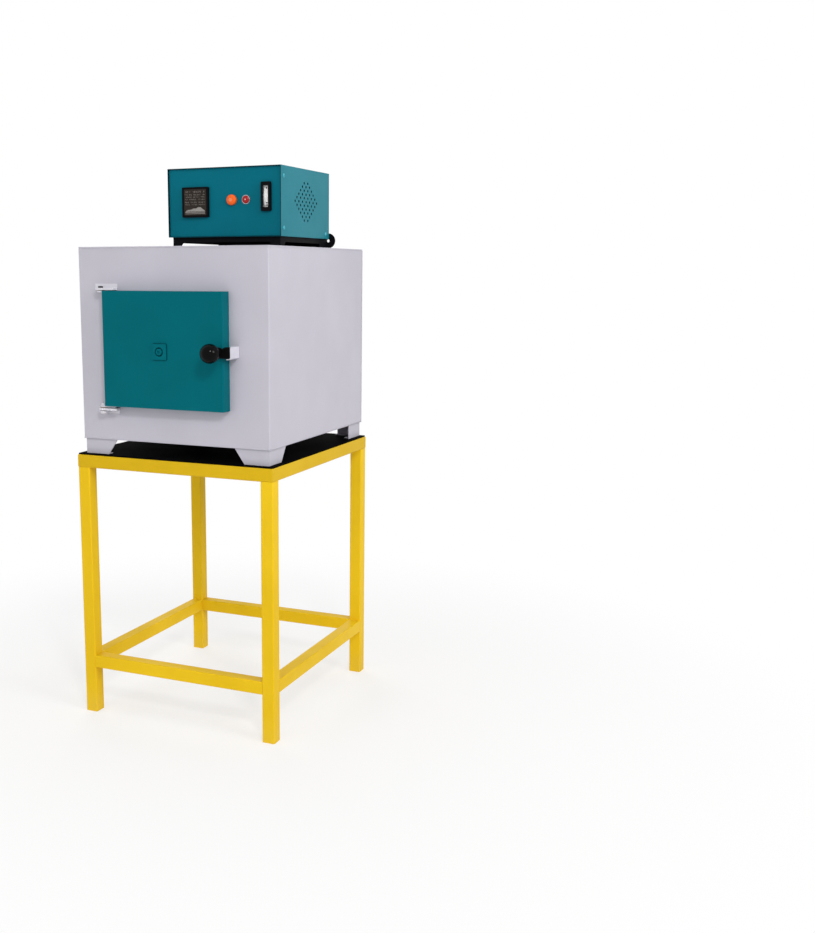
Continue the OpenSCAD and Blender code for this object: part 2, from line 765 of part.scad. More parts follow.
// Tabs welded to the door; the lower one reaches under it and has a boss
module hinge_tabs() {
    color("#e6e5ea") for (z = [tab_z0, tab_z1]) difference() {
        union() {
            translate([hinge_x, hinge_y, z]) cylinder(r = tab_r, h = tab_t);
            reach = z == tab_z0 ? hinge_out + tab_reach : hinge_out;
            block([hinge_x, hinge_y - tab_r + 1, z], [hinge_x + reach, hinge_y + tab_r - 1, z + tab_t]);
            translate([hinge_x, hinge_y, z]) cylinder(d = boss_d, h = z == tab_z0 ? boss_h : tab_t);
        }
        translate([hinge_x, hinge_y, z - 1]) cylinder(d = hinge_pin_d + 2 * run, h = boss_h + 2);
    }
}

// Flanged bush that carries the latch spindle
module latch_bush() {
    color(BLACK) difference() {
        union() {
            rod_y(latch_x, centre_z, door_y0 - bush_flange, door_y0, 24);
            rod_y(latch_x, centre_z, door_y0, door_y0 + 12, 14);
        }
        rod_y(latch_x, centre_z, door_y0 - bush_flange - 1, door_y0 + 13, spindle_d + 2 * run);
    }
}

// Spindle with its retaining collar behind the bush
module latch_spindle() {
    color(STEEL) {
        rod_y(latch_x, centre_z, knob_y, door_y0 + 18, spindle_d);
        rod_y(latch_x, centre_z, door_y0 + 12.2, door_y0 + 16, 18);
    }
}

// Ball knob on a short neck
module latch_knob() {
    color(BLACK) difference() {
        union() {
            translate([latch_x, knob_y, centre_z]) sphere(d = knob_d);
            rod_y(latch_x, centre_z, knob_y, tongue_y0 - 0.1, 2 * hub_r);
        }
        rod_y(latch_x, centre_z, knob_y - 0.5, tongue_y0 + 1, spindle_d + 2 * run);
    }
}

// Tongue that turns up out of the catch
module latch_tongue() {
    h = tongue_w / 2;
    shoulder = h - 2;
    color(BLACK) difference() {
        union() {
            translate([latch_x, tongue_y1, centre_z]) rotate([90, 0, 0]) linear_extrude(tongue_t)
                polygon(concat([[-hub_r, -h], [tongue_reach, -h], [tongue_reach, h]],
                    arc([shoulder + 4.5, h - shoulder], shoulder, 90, 180), [[-hub_r, h - shoulder]]));
            rod_y(latch_x, centre_z, tongue_y0, tongue_y1, 2 * hub_r);
        }
        rod_y(latch_x, centre_z, tongue_y0 - 1, tongue_y1 + 1, spindle_d + 2 * run);
    }
}

// Outline of a base wall with a trapezoid opening between its end feet
function base_wall(a, b, foot_a, foot_b) = [[a, case_top], [a + foot_a, case_top],
    [a + foot_a + 9, case_top + 11], [b - foot_b - 9, case_top + 11], [b - foot_b, case_top],
    [b, case_top], [b, box_z0 - base_t], [a, box_z0 - base_t]];

// Black base tray that carries the control box
module box_base() {
    color(BLACK) {
        block([base_x0, base_y0, box_z0 - base_t], [base_x1, box_y1, box_z0]);
        plate_xz(base_y0, base_y0 + base_t, base_wall(base_x0, base_x1, 20, 20));
        block([base_x0, box_y1 - base_t, case_top], [base_x1, box_y1, box_z0 - base_t]);
        for (x = [base_x0, base_x1 - base_t])
            plate_yz(x, x + base_t, base_wall(base_y0, box_y1 - base_t, 20, 34));
    }
}

// Round ears welded to the tray's rear wall, each with a fixing hole
module base_ears() {
    color(BLACK)
    for (x = ear_xs) difference() {
        rod_y(x, ear_z, box_y1, box_y1 + ear_t, ear_d);
        rod_y(x, ear_z, box_y1 - 1, box_y1 + ear_t + 1, ear_hole);
    }
}

// Floor, rear and top of the control box in one folded sheet, with screw frames at the sides
module box_chassis() {
    x0 = box_x0 + box_skin;
    x1 = box_right - box_skin;
    color(TEAL) difference() {
        union() {
            block([x0, box_front_y, box_z0], [x1, box_y1, box_z0 + box_skin]);
            block([x0, box_front_y, box_z1 - box_skin], [x1, box_y1, box_z1]);
            block([x0, box_y1 - box_skin, box_z0], [x1, box_y1, box_z1]);
            for (x = [x0, x1 - box_skin]) difference() {
                block([x, panel_back + fit, box_z0], [x + box_skin, box_y1, box_z1]);
                block([x - 1, panel_back + frame_w, box_z0 + frame_w],
                    [x + box_skin + 1, box_y1 - frame_w, box_z1 - frame_w]);
            }
        }
        for (g = gland_places) rod_y(g[0], g[1], box_y1 - 5, box_y1 + 1, 16 + 2 * fit);
        screw_holes(4.4);
    }
}

// Holes of the side screws through the whole box
module screw_holes(d) {
    for (p = screw_places)
        translate([box_x0 - 1, p[0], p[1]]) rotate([0, 90, 0]) cylinder(d = d, h = box_w + 2, $fn = 24);
}

// Recessed front panel with the cut-outs of its instruments
module box_front() {
    x0 = box_x0 + box_skin + fit;
    x1 = box_right - box_skin - fit;
    color(TEAL) difference() {
        block([x0, panel_y, box_z0 + box_skin], [x1, panel_back, box_z1 - box_skin]);
        block([ctrl_x - ctrl_w / 2 + 4, panel_y - 1, controls_z + ctrl_drop - ctrl_h / 2 + 4],
            [ctrl_x + ctrl_w / 2 - 4, panel_back + 1, controls_z + ctrl_drop + ctrl_h / 2 - 4]);
        block([meter_x - 11, panel_y - 1, meter_z - meter_h / 2 + 3],
            [meter_x + 11, panel_back + 1, meter_z + meter_h / 2 - 3]);
        rod_y(start_x, controls_z, panel_y - 1, panel_back + 1, start_d + 2 * fit);
        rod_y(stop_x, controls_z, panel_y - 1, panel_back + 1, stop_d + 2 * fit);
    }
}

// Left side panel
module box_side_left() {
    color(TEAL) difference() {
        block([box_x0, box_front_y, box_z0], [box_x0 + box_skin, box_y1, box_z1]);
        screw_holes(4.4);
        vent_holes(box_x0);
    }
}

// Right side panel
module box_side_right() {
    color("#35899a") difference() {
        block([box_right - box_skin, box_front_y, box_z0], [box_right, box_y1, box_z1]);
        screw_holes(4.4);
        vent_holes(box_right - box_skin);
    }
}

// Diamond of staggered vent holes, without its upper and lower tips
module vent_holes(x) {
    y0 = box_front_y + box_d / 2 - 6 * vent_pitch_y;
    z0 = box_z0 + 86;
    for (i = [0:6], j = [0:6])
        if (abs(i - j) < 6)
            translate([x - 1, y0 + (i + j) * vent_pitch_y, z0 + (i - j) * vent_pitch_z])
                rotate([0, 90, 0]) cylinder(d = vent_d, h = box_skin + 2, $fn = 20);
}

// Domed screws that hold the two side panels
module box_screws() {
    head = [[0, 0], [4, 0], [3.6, 1.1], [2.6, 1.9], [1.2, 2.3], [0, 2.3]];
    color(STEEL) for (p = screw_places, s = [-1, 1]) {
        x = s > 0 ? box_right : box_x0;
        translate([x, p[0], p[1]]) rotate([0, s * 90, 0]) {
            rotate_extrude($fn = 32) polygon(head);
            translate([0, 0, -8]) cylinder(d = 4, h = 8, $fn = 24);
        }
    }
}

// Temperature controller: bezel in front of the panel and body behind it
module controller_case() {
    z = controls_z + ctrl_drop;
    y0 = panel_y - bezel_t;
    color(BLACK) difference() {
        union() {
            translate([ctrl_x, panel_y, z]) rotate([90, 0, 0]) linear_extrude(bezel_t)
                polygon(round_rect(ctrl_w, ctrl_h, 2.5));
            block([ctrl_x - ctrl_w / 2 + 4.5, panel_y, z - ctrl_h / 2 + 4.5],
                [ctrl_x + ctrl_w / 2 - 4.5, panel_y + 66, z + ctrl_h / 2 - 4.5]);
        }
        block([ctrl_x - ctrl_w / 2 + 4.5, y0 - 1, z - ctrl_h / 2 + 4.5],
            [ctrl_x + ctrl_w / 2 - 4.5, y0 + 1.2, z + ctrl_h / 2 - 4.5]);
    }
}

// Cap of a push button with a crowned face, along Y, its rim at y
module button_cap(x, y, d, depth, crown) {
    r = d / 2;
    translate([x, y, controls_z]) rotate([90, 0, 0]) rotate_extrude()
        polygon(concat([[0, -depth], [r, -depth], [r, 0]],
            [for (a = [15:15:90]) [r * cos(a), crown * sin(a)]]));
}

// Domed orange start button
module start_button() {
    color("#ef6a14") button_cap(start_x, panel_y - 5, start_d, 14, 5);
}

// Small red stop button
module stop_button() {
    color("#a80f10") button_cap(stop_x, panel_y - 4.5, stop_d, 12, 2.5);
}

// Bright ring round the stop button
module stop_bezel() {
    color("#d8dade") difference() {
        translate([stop_x, panel_y, controls_z]) rotate([90, 0, 0]) rotate_extrude()
            polygon([[stop_d / 2 + fit, 0], [stop_d / 2 + 2, 0], [stop_d / 2 + 2, 2],
                [stop_d / 2 + 1.3, 3.2], [stop_d / 2 + fit, 3.2]]);
    }
}

// Switch bodies that guide the two buttons behind the panel
module button_switches() {
    color("#2a2a2c") {
        switch_body(start_x, start_d, panel_y - 5 + 14 + start_travel);
        switch_body(stop_x, stop_d, panel_y - 4.5 + 12 + stop_travel);
    }
}
module switch_body(x, d, stop_y) {
    difference() {
        union() {
            rod_y(x, controls_z, panel_back, stop_y + 4, d + 7);
            block([x - 9, stop_y + 4, controls_z - 12], [x + 9, stop_y + 30, controls_z + 12]);
        }
        rod_y(x, controls_z, panel_back - 1, stop_y + 0.3, d + 2 * run);
    }
}

// Edgewise meter: bezel, hollow body and the pointer's pivot
module meter_case() {
    y0 = panel_y - bezel_t;
    cavity_h = 56;
    color(BLACK) {
        difference() {
            union() {
                translate([meter_x, panel_y, meter_z]) rotate([90, 0, 0]) linear_extrude(bezel_t)
                    polygon(round_rect(meter_w, meter_h, 2));
                block([meter_x - 10.5, panel_y, meter_z - meter_h / 2 + 3.5],
                    [meter_x + 10.5, pivot_y + 12, meter_z + meter_h / 2 - 3.5]);
            }
            block([meter_x - 8.5, y0 + 2, meter_z - cavity_h / 2],
                [meter_x + 8.5, pivot_y + 10, meter_z + cavity_h / 2]);
            block([meter_x - scale_w / 2 - 0.5, y0 - 1, meter_z - 25],
                [meter_x + scale_w / 2 + 0.5, y0 + 3, meter_z + 25]);
        }
        translate([meter_x - 8.5, pivot_y, meter_z]) rotate([0, 90, 0]) cylinder(d = 2, h = 17);
    }
}

// Curved scale on two side cheeks that stand on the body's walls
module meter_scale() {
    color("#f4f4f2") translate([meter_x, pivot_y, meter_z]) difference() {
        rotate([0, 90, 0]) rotate([0, 0, 180]) translate([0, 0, -scale_w / 2])
            rotate([0, 0, 90 - swing - 4]) rotate_extrude(angle = 2 * swing + 8)
                translate([scale_r - 1, 0]) square([1, scale_w]);
    }
    color("#f4f4f2") block([meter_x + scale_w / 2, pivot_y - scale_r + 2, meter_z - 10],
        [meter_x + 8.5 - 0.1, pivot_y - scale_r + 5, meter_z + 10]);
}

// Pointer: hub on the pivot, an arm beside the scale and a bar across it
module meter_pointer() {
    arm_x = meter_x - 8;
    color("#c2261b") translate([0, pivot_y, meter_z]) rotate([swing, 0, 0]) difference() {
        union() {
            translate([arm_x, 0, 0]) rotate([0, 90, 0]) cylinder(d = 6, h = 3);
            block([arm_x, -scale_r - 1.4, -0.5], [arm_x + 0.9, 0, 0.5]);
            block([arm_x, -scale_r - 1.4, -0.5], [meter_x + scale_w / 2, -scale_r - 0.6, 0.5]);
        }
        translate([arm_x - 1, 0, 0]) rotate([0, 90, 0]) cylinder(d = 2 + 2 * run, h = 5);
    }
}

// Clear window of the meter
module meter_window() {
    y0 = panel_y - bezel_t;
    color([0.8, 0.9, 0.95, 0.35]) block([meter_x - scale_w / 2 - 0.4, y0 + 0.3, meter_z - 24.9],
        [meter_x + scale_w / 2 + 0.4, y0 + 1.2, meter_z + 24.9]);
}

// Contactor and terminal strip on the box's floor
module box_internals() {
    z = box_z0 + box_skin;
    color("#d8d4c8") {
        block([box_x0 + 40, box_y1 - 130, z], [box_x0 + 90, box_y1 - 50, z + 80]);
        difference() {
            block([box_x0 + 120, box_y1 - 90, z], [box_x0 + 220, box_y1 - 62, z + 26]);
            for (i = [0:5])
                translate([box_x0 + 126 + 16 * i, box_y1 - 91, z + 16]) cube([8, 30, 11]);
        }
    }
}

// Cable glands in the control box's rear
module rear_glands() {
    color(BLACK) for (g = gland_places) difference() {
        union() {
            rod_y(g[0], g[1], box_y1 - 10, box_y1 + 1, 16);
            translate([g[0], box_y1 + 7, g[1]]) rotate([90, 0, 0]) cylinder(d = 24, h = 7, $fn = 6);
            rod_y(g[0], g[1], box_y1 + 7, box_y1 + 18, 18);
            translate([g[0], box_y1 - box_skin, g[1]]) rotate([90, 0, 0]) cylinder(d = 24, h = 4, $fn = 6);
        }
        rod_y(g[0], g[1], box_y1 - 11, box_y1 + 19, 8.5);
    }
}

stand_legs();
top_rail_front();
top_rail_rear();
top_rail_left();
top_rail_right();
low_rail_front();
low_rail_rear();
low_rail_left();
low_rail_right();
stand_sheet();
casing_body();
casing_top();
casing_floor();
casing_feet();
casing_rear();
terminal_cover();
ceramic_terminals();
backing_boards();
brick_floor();
brick_roof();
brick_left();
brick_right();
brick_rear();
mouth_collar();
hearth_plate();
heating_rods();
thermocouple();
hinge_lug_top();
hinge_lug_bottom();
hinge_pins();
hinge_washers();
catch_bracket();
door_pan();
door_fibre();
door_plug();
door_centre_plate();
door_centre_bolt();
hinge_tabs();
latch_bush();
latch_spindle();
latch_knob();
latch_tongue();
box_base();
base_ears();
box_chassis();
box_front();
box_side_left();
box_side_right();
box_screws();
controller_case();
start_button();
stop_button();
stop_bezel();
button_switches();
meter_case();
meter_scale();
meter_pointer();
meter_window();
box_internals();
rear_glands();
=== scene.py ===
"""Looks of the jewellery kiln: camera, studio, finishes and the fine pieces that the frame leaves open.

Lengths are in mm, apart from the studio's, which are in metres.
"""
import logging
import math
from abc import ABC, abstractmethod
from dataclasses import dataclass, field, replace
from enum import Enum
from functools import cache
from itertools import product
from typing import Sequence

import bmesh
import bpy
import numpy as np
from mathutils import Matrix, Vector


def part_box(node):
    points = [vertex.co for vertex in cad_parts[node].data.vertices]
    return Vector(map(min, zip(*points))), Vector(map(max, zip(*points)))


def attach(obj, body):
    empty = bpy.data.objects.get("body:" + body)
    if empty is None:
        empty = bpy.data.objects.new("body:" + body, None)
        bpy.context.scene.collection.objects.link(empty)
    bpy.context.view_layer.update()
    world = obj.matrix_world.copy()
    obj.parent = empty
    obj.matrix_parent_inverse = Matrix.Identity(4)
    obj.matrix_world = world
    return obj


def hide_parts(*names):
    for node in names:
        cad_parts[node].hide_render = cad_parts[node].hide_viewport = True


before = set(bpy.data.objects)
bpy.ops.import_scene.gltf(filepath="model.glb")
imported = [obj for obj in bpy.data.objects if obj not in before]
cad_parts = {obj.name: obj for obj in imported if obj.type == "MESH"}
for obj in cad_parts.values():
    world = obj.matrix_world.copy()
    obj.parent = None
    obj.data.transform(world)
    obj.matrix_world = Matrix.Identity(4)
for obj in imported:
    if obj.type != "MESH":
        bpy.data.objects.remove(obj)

LOG = logging.getLogger("kiln")
MM = 0.001
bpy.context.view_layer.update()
ACROSS, DEEP, UP = np.eye(3)
WHITE = (1.0, 1.0, 1.0, 1.0)
Socket = bpy.types.NodeSocket
Point = tuple[float, float, float]


# Places taken from the frame


@dataclass(frozen=True)
class Box:
    """Sides of a box in mm, seen from the kiln's front: left is its least x, front its least y."""

    left: float
    right: float
    front: float
    rear: float
    low: float
    high: float

    @classmethod
    def of(cls, *nodes: str) -> "Box":
        """Box round CAD nodes at rest, to a thousandth of a millimetre.

        Args:
            nodes: the nodes' names.

        Returns:
            Their common box.
        """
        corners = np.array([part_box(node) for node in nodes]) / MM
        sides = np.stack([corners[:, 0].min(axis=0), corners[:, 1].max(axis=0)], axis=-1)
        return cls(*(round(float(side), 3) for side in sides.ravel()))

    @property
    def middle(self) -> Point:
        """Middle of the box, to a hundredth: a round node's sides may lie off by a few thousandths."""
        return (round((self.left + self.right) / 2, 2), round((self.front + self.rear) / 2, 2),
                round((self.low + self.high) / 2, 2))


# Colours


def linear(hex_code: str) -> tuple[float, float, float, float]:
    """Turn a written sRGB colour into linear light, by the curve of the sRGB standard.

    Args:
        hex_code: six hexadecimal digits.

    Returns:
        Red, green, blue and alpha in linear light.
    """
    parts = [int(hex_code[i:i + 2], 16) / 255 for i in (0, 2, 4)]
    light = [c / 12.92 if c <= 0.04045 else ((c + 0.055) / 1.055) ** 2.4 for c in parts]
    return (light[0], light[1], light[2], 1.0)


# Shader building blocks


class Graph:
    """A short way to place and join shader nodes in one tree."""

    def __init__(self, tree: bpy.types.NodeTree) -> None:
        """Keep the tree and empty it.

        Args:
            tree: the tree that the nodes go into.
        """
        self.tree = tree
        self.tree.nodes.clear()

    def feed(self, made: bpy.types.Node, name: str | int, value: object) -> None:
        """Set or link one input.

        Args:
            made: the node that holds the input.
            name: the input's name or number.
            value: a plain value, or an output socket to link.
        """
        socket = made.inputs[name]
        if isinstance(value, Socket):
            self.tree.links.new(value, socket)
        else:
            socket.default_value = value

    def node(self, kind: str, *first: object, **values: object) -> bpy.types.Node:
        """Add a node and set or link its inputs.

        Args:
            kind: the node's type name without the ShaderNode prefix.
            first: values or sockets of its first inputs, in order.
            values: properties and inputs by name, with an underscore for each space.

        Returns:
            The new node.
        """
        made = self.tree.nodes.new("ShaderNode" + kind)
        for name, value in values.items():
            if hasattr(made, name):
                setattr(made, name, value)
            else:
                self.feed(made, name.replace("_", " "), value)
        for number, value in enumerate(first):
            self.feed(made, number, value)
        return made

    def math(self, operation: str, *values: object, clamp: bool = False) -> Socket:
        """One arithmetic step.

        Args:
            operation: the Math node's operation.
            values: its values or sockets, in order.
            clamp: whether the result stays between 0 and 1.

        Returns:
            The result's socket.
        """
        return self.node("Math", *values, operation=operation, use_clamp=clamp).outputs[0]

    def ramp(self, value: Socket, low: float, high: float) -> Socket:
        """Smooth mask that rises from 0 at low to 1 at high.

        Args:
            value: the socket to test.
            low: value that gives 0.
            high: value that gives 1.

        Returns:
            The mask's socket.
        """
        made = self.node("MapRange", value, low, high, interpolation_type="SMOOTHSTEP")
        return made.outputs["Result"]

    def fall(self, value: Socket, low: float, high: float) -> Socket:
        """Smooth mask that falls from 1 at low to 0 at high: one minus the rising mask.

        Args:
            value: the socket to test.
            low: value that gives 1.
            high: value that gives 0.

        Returns:
            The mask's socket.
        """
        return self.math("SUBTRACT", 1.0, self.ramp(value, low, high))

    def inside(self, place: Socket, box: Box) -> Socket:
        """Mask of the points inside a box: along each axis they lie within half a side of its middle.

        Args:
            place: the point's socket.
            box: the box.

        Returns:
            Socket that is 1 inside the box.
        """
        split = self.node("SeparateXYZ", Vector=place)
        tests = []
        for axis, low, high in zip("XYZ", (box.left, box.front, box.low), (box.right, box.rear, box.high)):
            off = self.math("ABSOLUTE", self.math("SUBTRACT", split.outputs[axis], MM * (low + high) / 2))
            tests.append(self.math("LESS_THAN", off, MM * (high - low) / 2))
        return self.math("MULTIPLY", self.math("MULTIPLY", tests[0], tests[1]), tests[2])

    def blend(self, mask: Socket, first: object, second: object) -> Socket:
        """Mix two colours by a mask.

        Args:
            mask: share of the second colour.
            first: colour or socket at 0.
            second: colour or socket at 1.

        Returns:
            The mixed colour's socket.
        """
        made = self.node("Mix", mask, data_type="RGBA")
        colour_a, colour_b, result = 6, 7, 2
        self.feed(made, colour_a, first)
        self.feed(made, colour_b, second)
        return made.outputs[result]

    def shader(self, colour: object, rough: object, height: Socket, strength: float, depth: float,
               **values: object) -> bpy.types.Node:
        """Principled shader over a bump.

        Args:
            colour: base colour or socket.
            rough: roughness or socket.
            height: the bump's height.
            strength: the bump's strength.
            depth: the bump's depth in mm.
            values: the shader's other inputs by name.

        Returns:
            The shader node.
        """
        bump = self.node("Bump", Height=height, Strength=strength, Distance=depth * MM)
        normal = bump.outputs["Normal"]
        return self.node("BsdfPrincipled", Base_Color=colour, Roughness=rough, Normal=normal, **values)

    def backdrop_rays(self) -> Socket:
        """Mask of the rays that show the backdrop: from the camera, off a gloss or through glass.

        Returns:
            The mask's socket.
        """
        rays = self.node("LightPath").outputs
        shown = self.math("MAXIMUM", rays["Is Camera Ray"], rays["Is Transmission Ray"])
        return self.math("MAXIMUM", shown, rays["Is Glossy Ray"])


class Effects:
    """Shader groups that several finishes share, each built once."""

    @staticmethod
    def start(name: str, inputs: dict[str, float],
              outputs: Sequence[str]) -> tuple[Graph, bpy.types.NodeOutputs, bpy.types.Node]:
        """Make an empty group with named number sockets, beside the Vector that every group takes.

        Args:
            name: the group's name.
            inputs: input names with their starting values.
            outputs: output names.

        Returns:
            The graph, the given values' sockets and the node that takes the results.
        """
        tree = bpy.data.node_groups.new(name, "ShaderNodeTree")
        tree.interface.new_socket("Vector", in_out="INPUT", socket_type="NodeSocketVector")
        for label, value in inputs.items():
            socket = tree.interface.new_socket(label, in_out="INPUT", socket_type="NodeSocketFloat")
            socket.default_value = value
        for label in outputs:
            tree.interface.new_socket(label, in_out="OUTPUT", socket_type="NodeSocketFloat")
        graph = Graph(tree)
        return graph, tree.nodes.new("NodeGroupInput").outputs, tree.nodes.new("NodeGroupOutput")

    @staticmethod
    @cache
    def skin() -> bpy.types.NodeTree:
        """Paint film: fine orange peel, faint clouds and small specks.

        Returns:
            The group, with outputs Height, Clouds and Specks.
        """
        graph, given, put = Effects.start("paint_film", {"Peel": 900.0, "Cloud": 6.0, "Speck": 420.0},
                                          ("Height", "Clouds", "Specks"))
        peel = graph.node("TexNoise", Vector=given["Vector"], Scale=given["Peel"], Detail=2.0)
        cloud = graph.node("TexNoise", Vector=given["Vector"], Scale=given["Cloud"], Detail=4.0)
        speck = graph.node("TexVoronoi", Vector=given["Vector"], Scale=given["Speck"])
        graph.feed(put, "Height", peel.outputs[0])
        graph.feed(put, "Clouds", graph.ramp(cloud.outputs[0], low=0.3, high=0.7))
        graph.feed(put, "Specks", graph.fall(speck.outputs["Distance"], low=0.04, high=0.11))
        return graph.tree

    @staticmethod
    @cache
    def grain() -> bpy.types.NodeTree:
        """Open-pored grain of brick, board and cast goods.

        Returns:
            The group, with outputs Height, Pores and Patches.
        """
        graph, given, put = Effects.start("open_grain", {"Pore": 260.0, "Patch": 18.0},
                                          ("Height", "Pores", "Patches"))
        pore = graph.node("TexVoronoi", Vector=given["Vector"], Scale=given["Pore"])
        fine = graph.node("TexNoise", Vector=given["Vector"], Scale=given["Pore"], Detail=6.0)
        patch = graph.node("TexNoise", Vector=given["Vector"], Scale=given["Patch"], Detail=5.0)
        holes = graph.fall(pore.outputs["Distance"], low=0.12, high=0.34)
        graph.feed(put, "Pores", holes)
        graph.feed(put, "Patches", graph.ramp(patch.outputs[0], low=0.32, high=0.68))
        graph.feed(put, "Height", graph.math("SUBTRACT", fine.outputs[0], holes))
        return graph.tree

    @staticmethod
    @cache
    def brushed() -> bpy.types.NodeTree:
        """Long fine scratches of drawn or brushed metal, along the vector's first axis.

        Returns:
            The group, with outputs Height and Streaks.
        """
        graph, given, put = Effects.start("drawn_metal", {"Fine": 1500.0}, ("Height", "Streaks"))
        stretch = graph.node("Mapping", Vector=given["Vector"], Scale=(0.03, 1.0, 1.0))
        lines = graph.node("TexNoise", Vector=stretch.outputs[0], Scale=given["Fine"], Detail=3.0)
        graph.feed(put, "Height", lines.outputs[0])
        graph.feed(put, "Streaks", graph.ramp(lines.outputs[0], low=0.35, high=0.65))
        return graph.tree


# Finishes


@dataclass(frozen=True)
class Finish(ABC):
    """A material whose patterns lie in Object coordinates; each kind works out its own surface."""

    name: str

    @cache
    def material(self) -> bpy.types.Material:
        """Make the material, once for each finish.

        Returns:
            The material.
        """
        material = bpy.data.materials.new(self.name)
        material.use_nodes = True
        graph = Graph(material.node_tree)
        surface = self.surface(graph, graph.node("TexCoord").outputs["Object"])
        graph.node("OutputMaterial", Surface=surface.outputs[0])
        return material

    @abstractmethod
    def surface(self, graph: Graph, place: Socket) -> bpy.types.Node:
        """Join the surface's nodes.

        Args:
            graph: the material's graph.
            place: the point's Object coordinates.

        Returns:
            The shader node.
        """


@dataclass(frozen=True)
class Paint(Finish):
    """Sprayed and baked paint on steel, or a moulded plastic skin."""

    colour: str
    shade: str
    roughness: float = 0.35
    spread: float = 0.08
    peel: float = 0.05
    peel_scale: float = 900.0
    peel_depth: float = 0.4
    coat: float = 0.0
    coat_roughness: float = 0.06
    ior: float = 1.5
    dust: float = 0.0
    dust_colour: str = "B8B4AC"
    dust_top: float = 80.0
    dust_specks: float = 0.4
    dust_matt: float = 0.3
    # Painted shade: inside this box the colour turns near black.
    inside_shade: Box | None = None
    inside_shade_colour: str = "06090A"

    def surface(self, graph: Graph, place: Socket) -> bpy.types.Node:
        """Join the clouded film, the dust near the floor and the painted shade: near-black colour inside a
        box.

        Args:
            graph: the material's graph.
            place: the point's Object coordinates.

        Returns:
            The shader node.
        """
        film = graph.node("Group", node_tree=Effects.skin(), Vector=place, Peel=self.peel_scale)
        clouds = film.outputs["Clouds"]
        colour = graph.blend(clouds, linear(self.colour), linear(self.shade))
        rough = graph.math("MULTIPLY_ADD", clouds, self.spread, self.roughness)
        if self.dust > 0:
            height = graph.node("SeparateXYZ", Vector=place).outputs["Z"]
            low = graph.math("MULTIPLY", graph.fall(height, 0.0, self.dust_top * MM), clouds)
            specks = graph.math("MULTIPLY", film.outputs["Specks"], self.dust * self.dust_specks)
            soil = graph.math("MAXIMUM", graph.math("MULTIPLY", low, self.dust), specks)
            colour = graph.blend(soil, colour, linear(self.dust_colour))
            rough = graph.math("ADD", rough, graph.math("MULTIPLY", soil, self.dust_matt), clamp=True)
        # Painted shade: near black inside the box.
        if self.inside_shade:
            colour = graph.blend(graph.inside(place, self.inside_shade), colour, linear(self.inside_shade_colour))
        return graph.shader(colour, rough, film.outputs["Height"], self.peel, self.peel_depth, IOR=self.ior,
                            Coat_Weight=self.coat, Coat_Roughness=self.coat_roughness)


@dataclass(frozen=True)
class Metal(Finish):
    """Bare or plated metal with drawn scratches."""

    colour: str
    shade: str
    roughness: float = 0.3
    spread: float = 0.15
    scratch: float = 0.08
    scratch_depth: float = 0.2
    fine: float = 1500.0

    def surface(self, graph: Graph, place: Socket) -> bpy.types.Node:
        """Join the scratches, which change the colour and the roughness.

        Args:
            graph: the material's graph.
            place: the point's Object coordinates.

        Returns:
            The shader node.
        """
        drawn = graph.node("Group", node_tree=Effects.brushed(), Vector=place, Fine=self.fine)
        streaks = drawn.outputs["Streaks"]
        colour = graph.blend(streaks, linear(self.colour), linear(self.shade))
        rough = graph.math("MULTIPLY_ADD", streaks, self.spread, self.roughness)
        return graph.shader(colour, rough, drawn.outputs["Height"], self.scratch, self.scratch_depth,
                            Metallic=1.0)


@dataclass(frozen=True)
class Refractory(Finish):
    """Matt brick, board or ceramic with open pores."""

    colour: str
    patch: str
    pore: str
    pore_scale: float = 260.0
    patch_scale: float = 18.0
    bump: float = 0.5
    bump_depth: float = 0.8
    pore_share: float = 0.6
    roughness: float = 0.92

    def surface(self, graph: Graph, place: Socket) -> bpy.types.Node:
        """Join the patches and the darker pores.

        Args:
            graph: the material's graph.
            place: the point's Object coordinates.

        Returns:
            The shader node.
        """
        grain = graph.node("Group", node_tree=Effects.grain(), Vector=place, Pore=self.pore_scale,
                           Patch=self.patch_scale)
        colour = graph.blend(grain.outputs["Patches"], linear(self.colour), linear(self.patch))
        pores = graph.math("MULTIPLY", grain.outputs["Pores"], self.pore_share)
        colour = graph.blend(pores, colour, linear(self.pore))
        return graph.shader(colour, self.roughness, grain.outputs["Height"], self.bump, self.bump_depth)


@dataclass(frozen=True)
class Clear(Finish):
    """Clear plastic window with faint wipe marks."""

    colour: tuple[float, float, float, float] = (0.95, 0.97, 0.98, 1.0)
    alpha: float = 0.06
    ior: float = 1.49
    wipe_scale: float = 160.0
    roughness: float = 0.02
    spread: float = 0.05

    def surface(self, graph: Graph, place: Socket) -> bpy.types.Node:
        """Join the wipe marks, which change the roughness.

        Args:
            graph: the material's graph.
            place: the point's Object coordinates.

        Returns:
            The shader node.
        """
        wipe = graph.node("TexNoise", Vector=place, Scale=self.wipe_scale, Detail=3.0)
        rough = graph.math("MULTIPLY_ADD", wipe.outputs[0], self.spread, self.roughness)
        return graph.node("BsdfPrincipled", Base_Color=self.colour, Roughness=rough, Alpha=self.alpha,
                          IOR=self.ior)


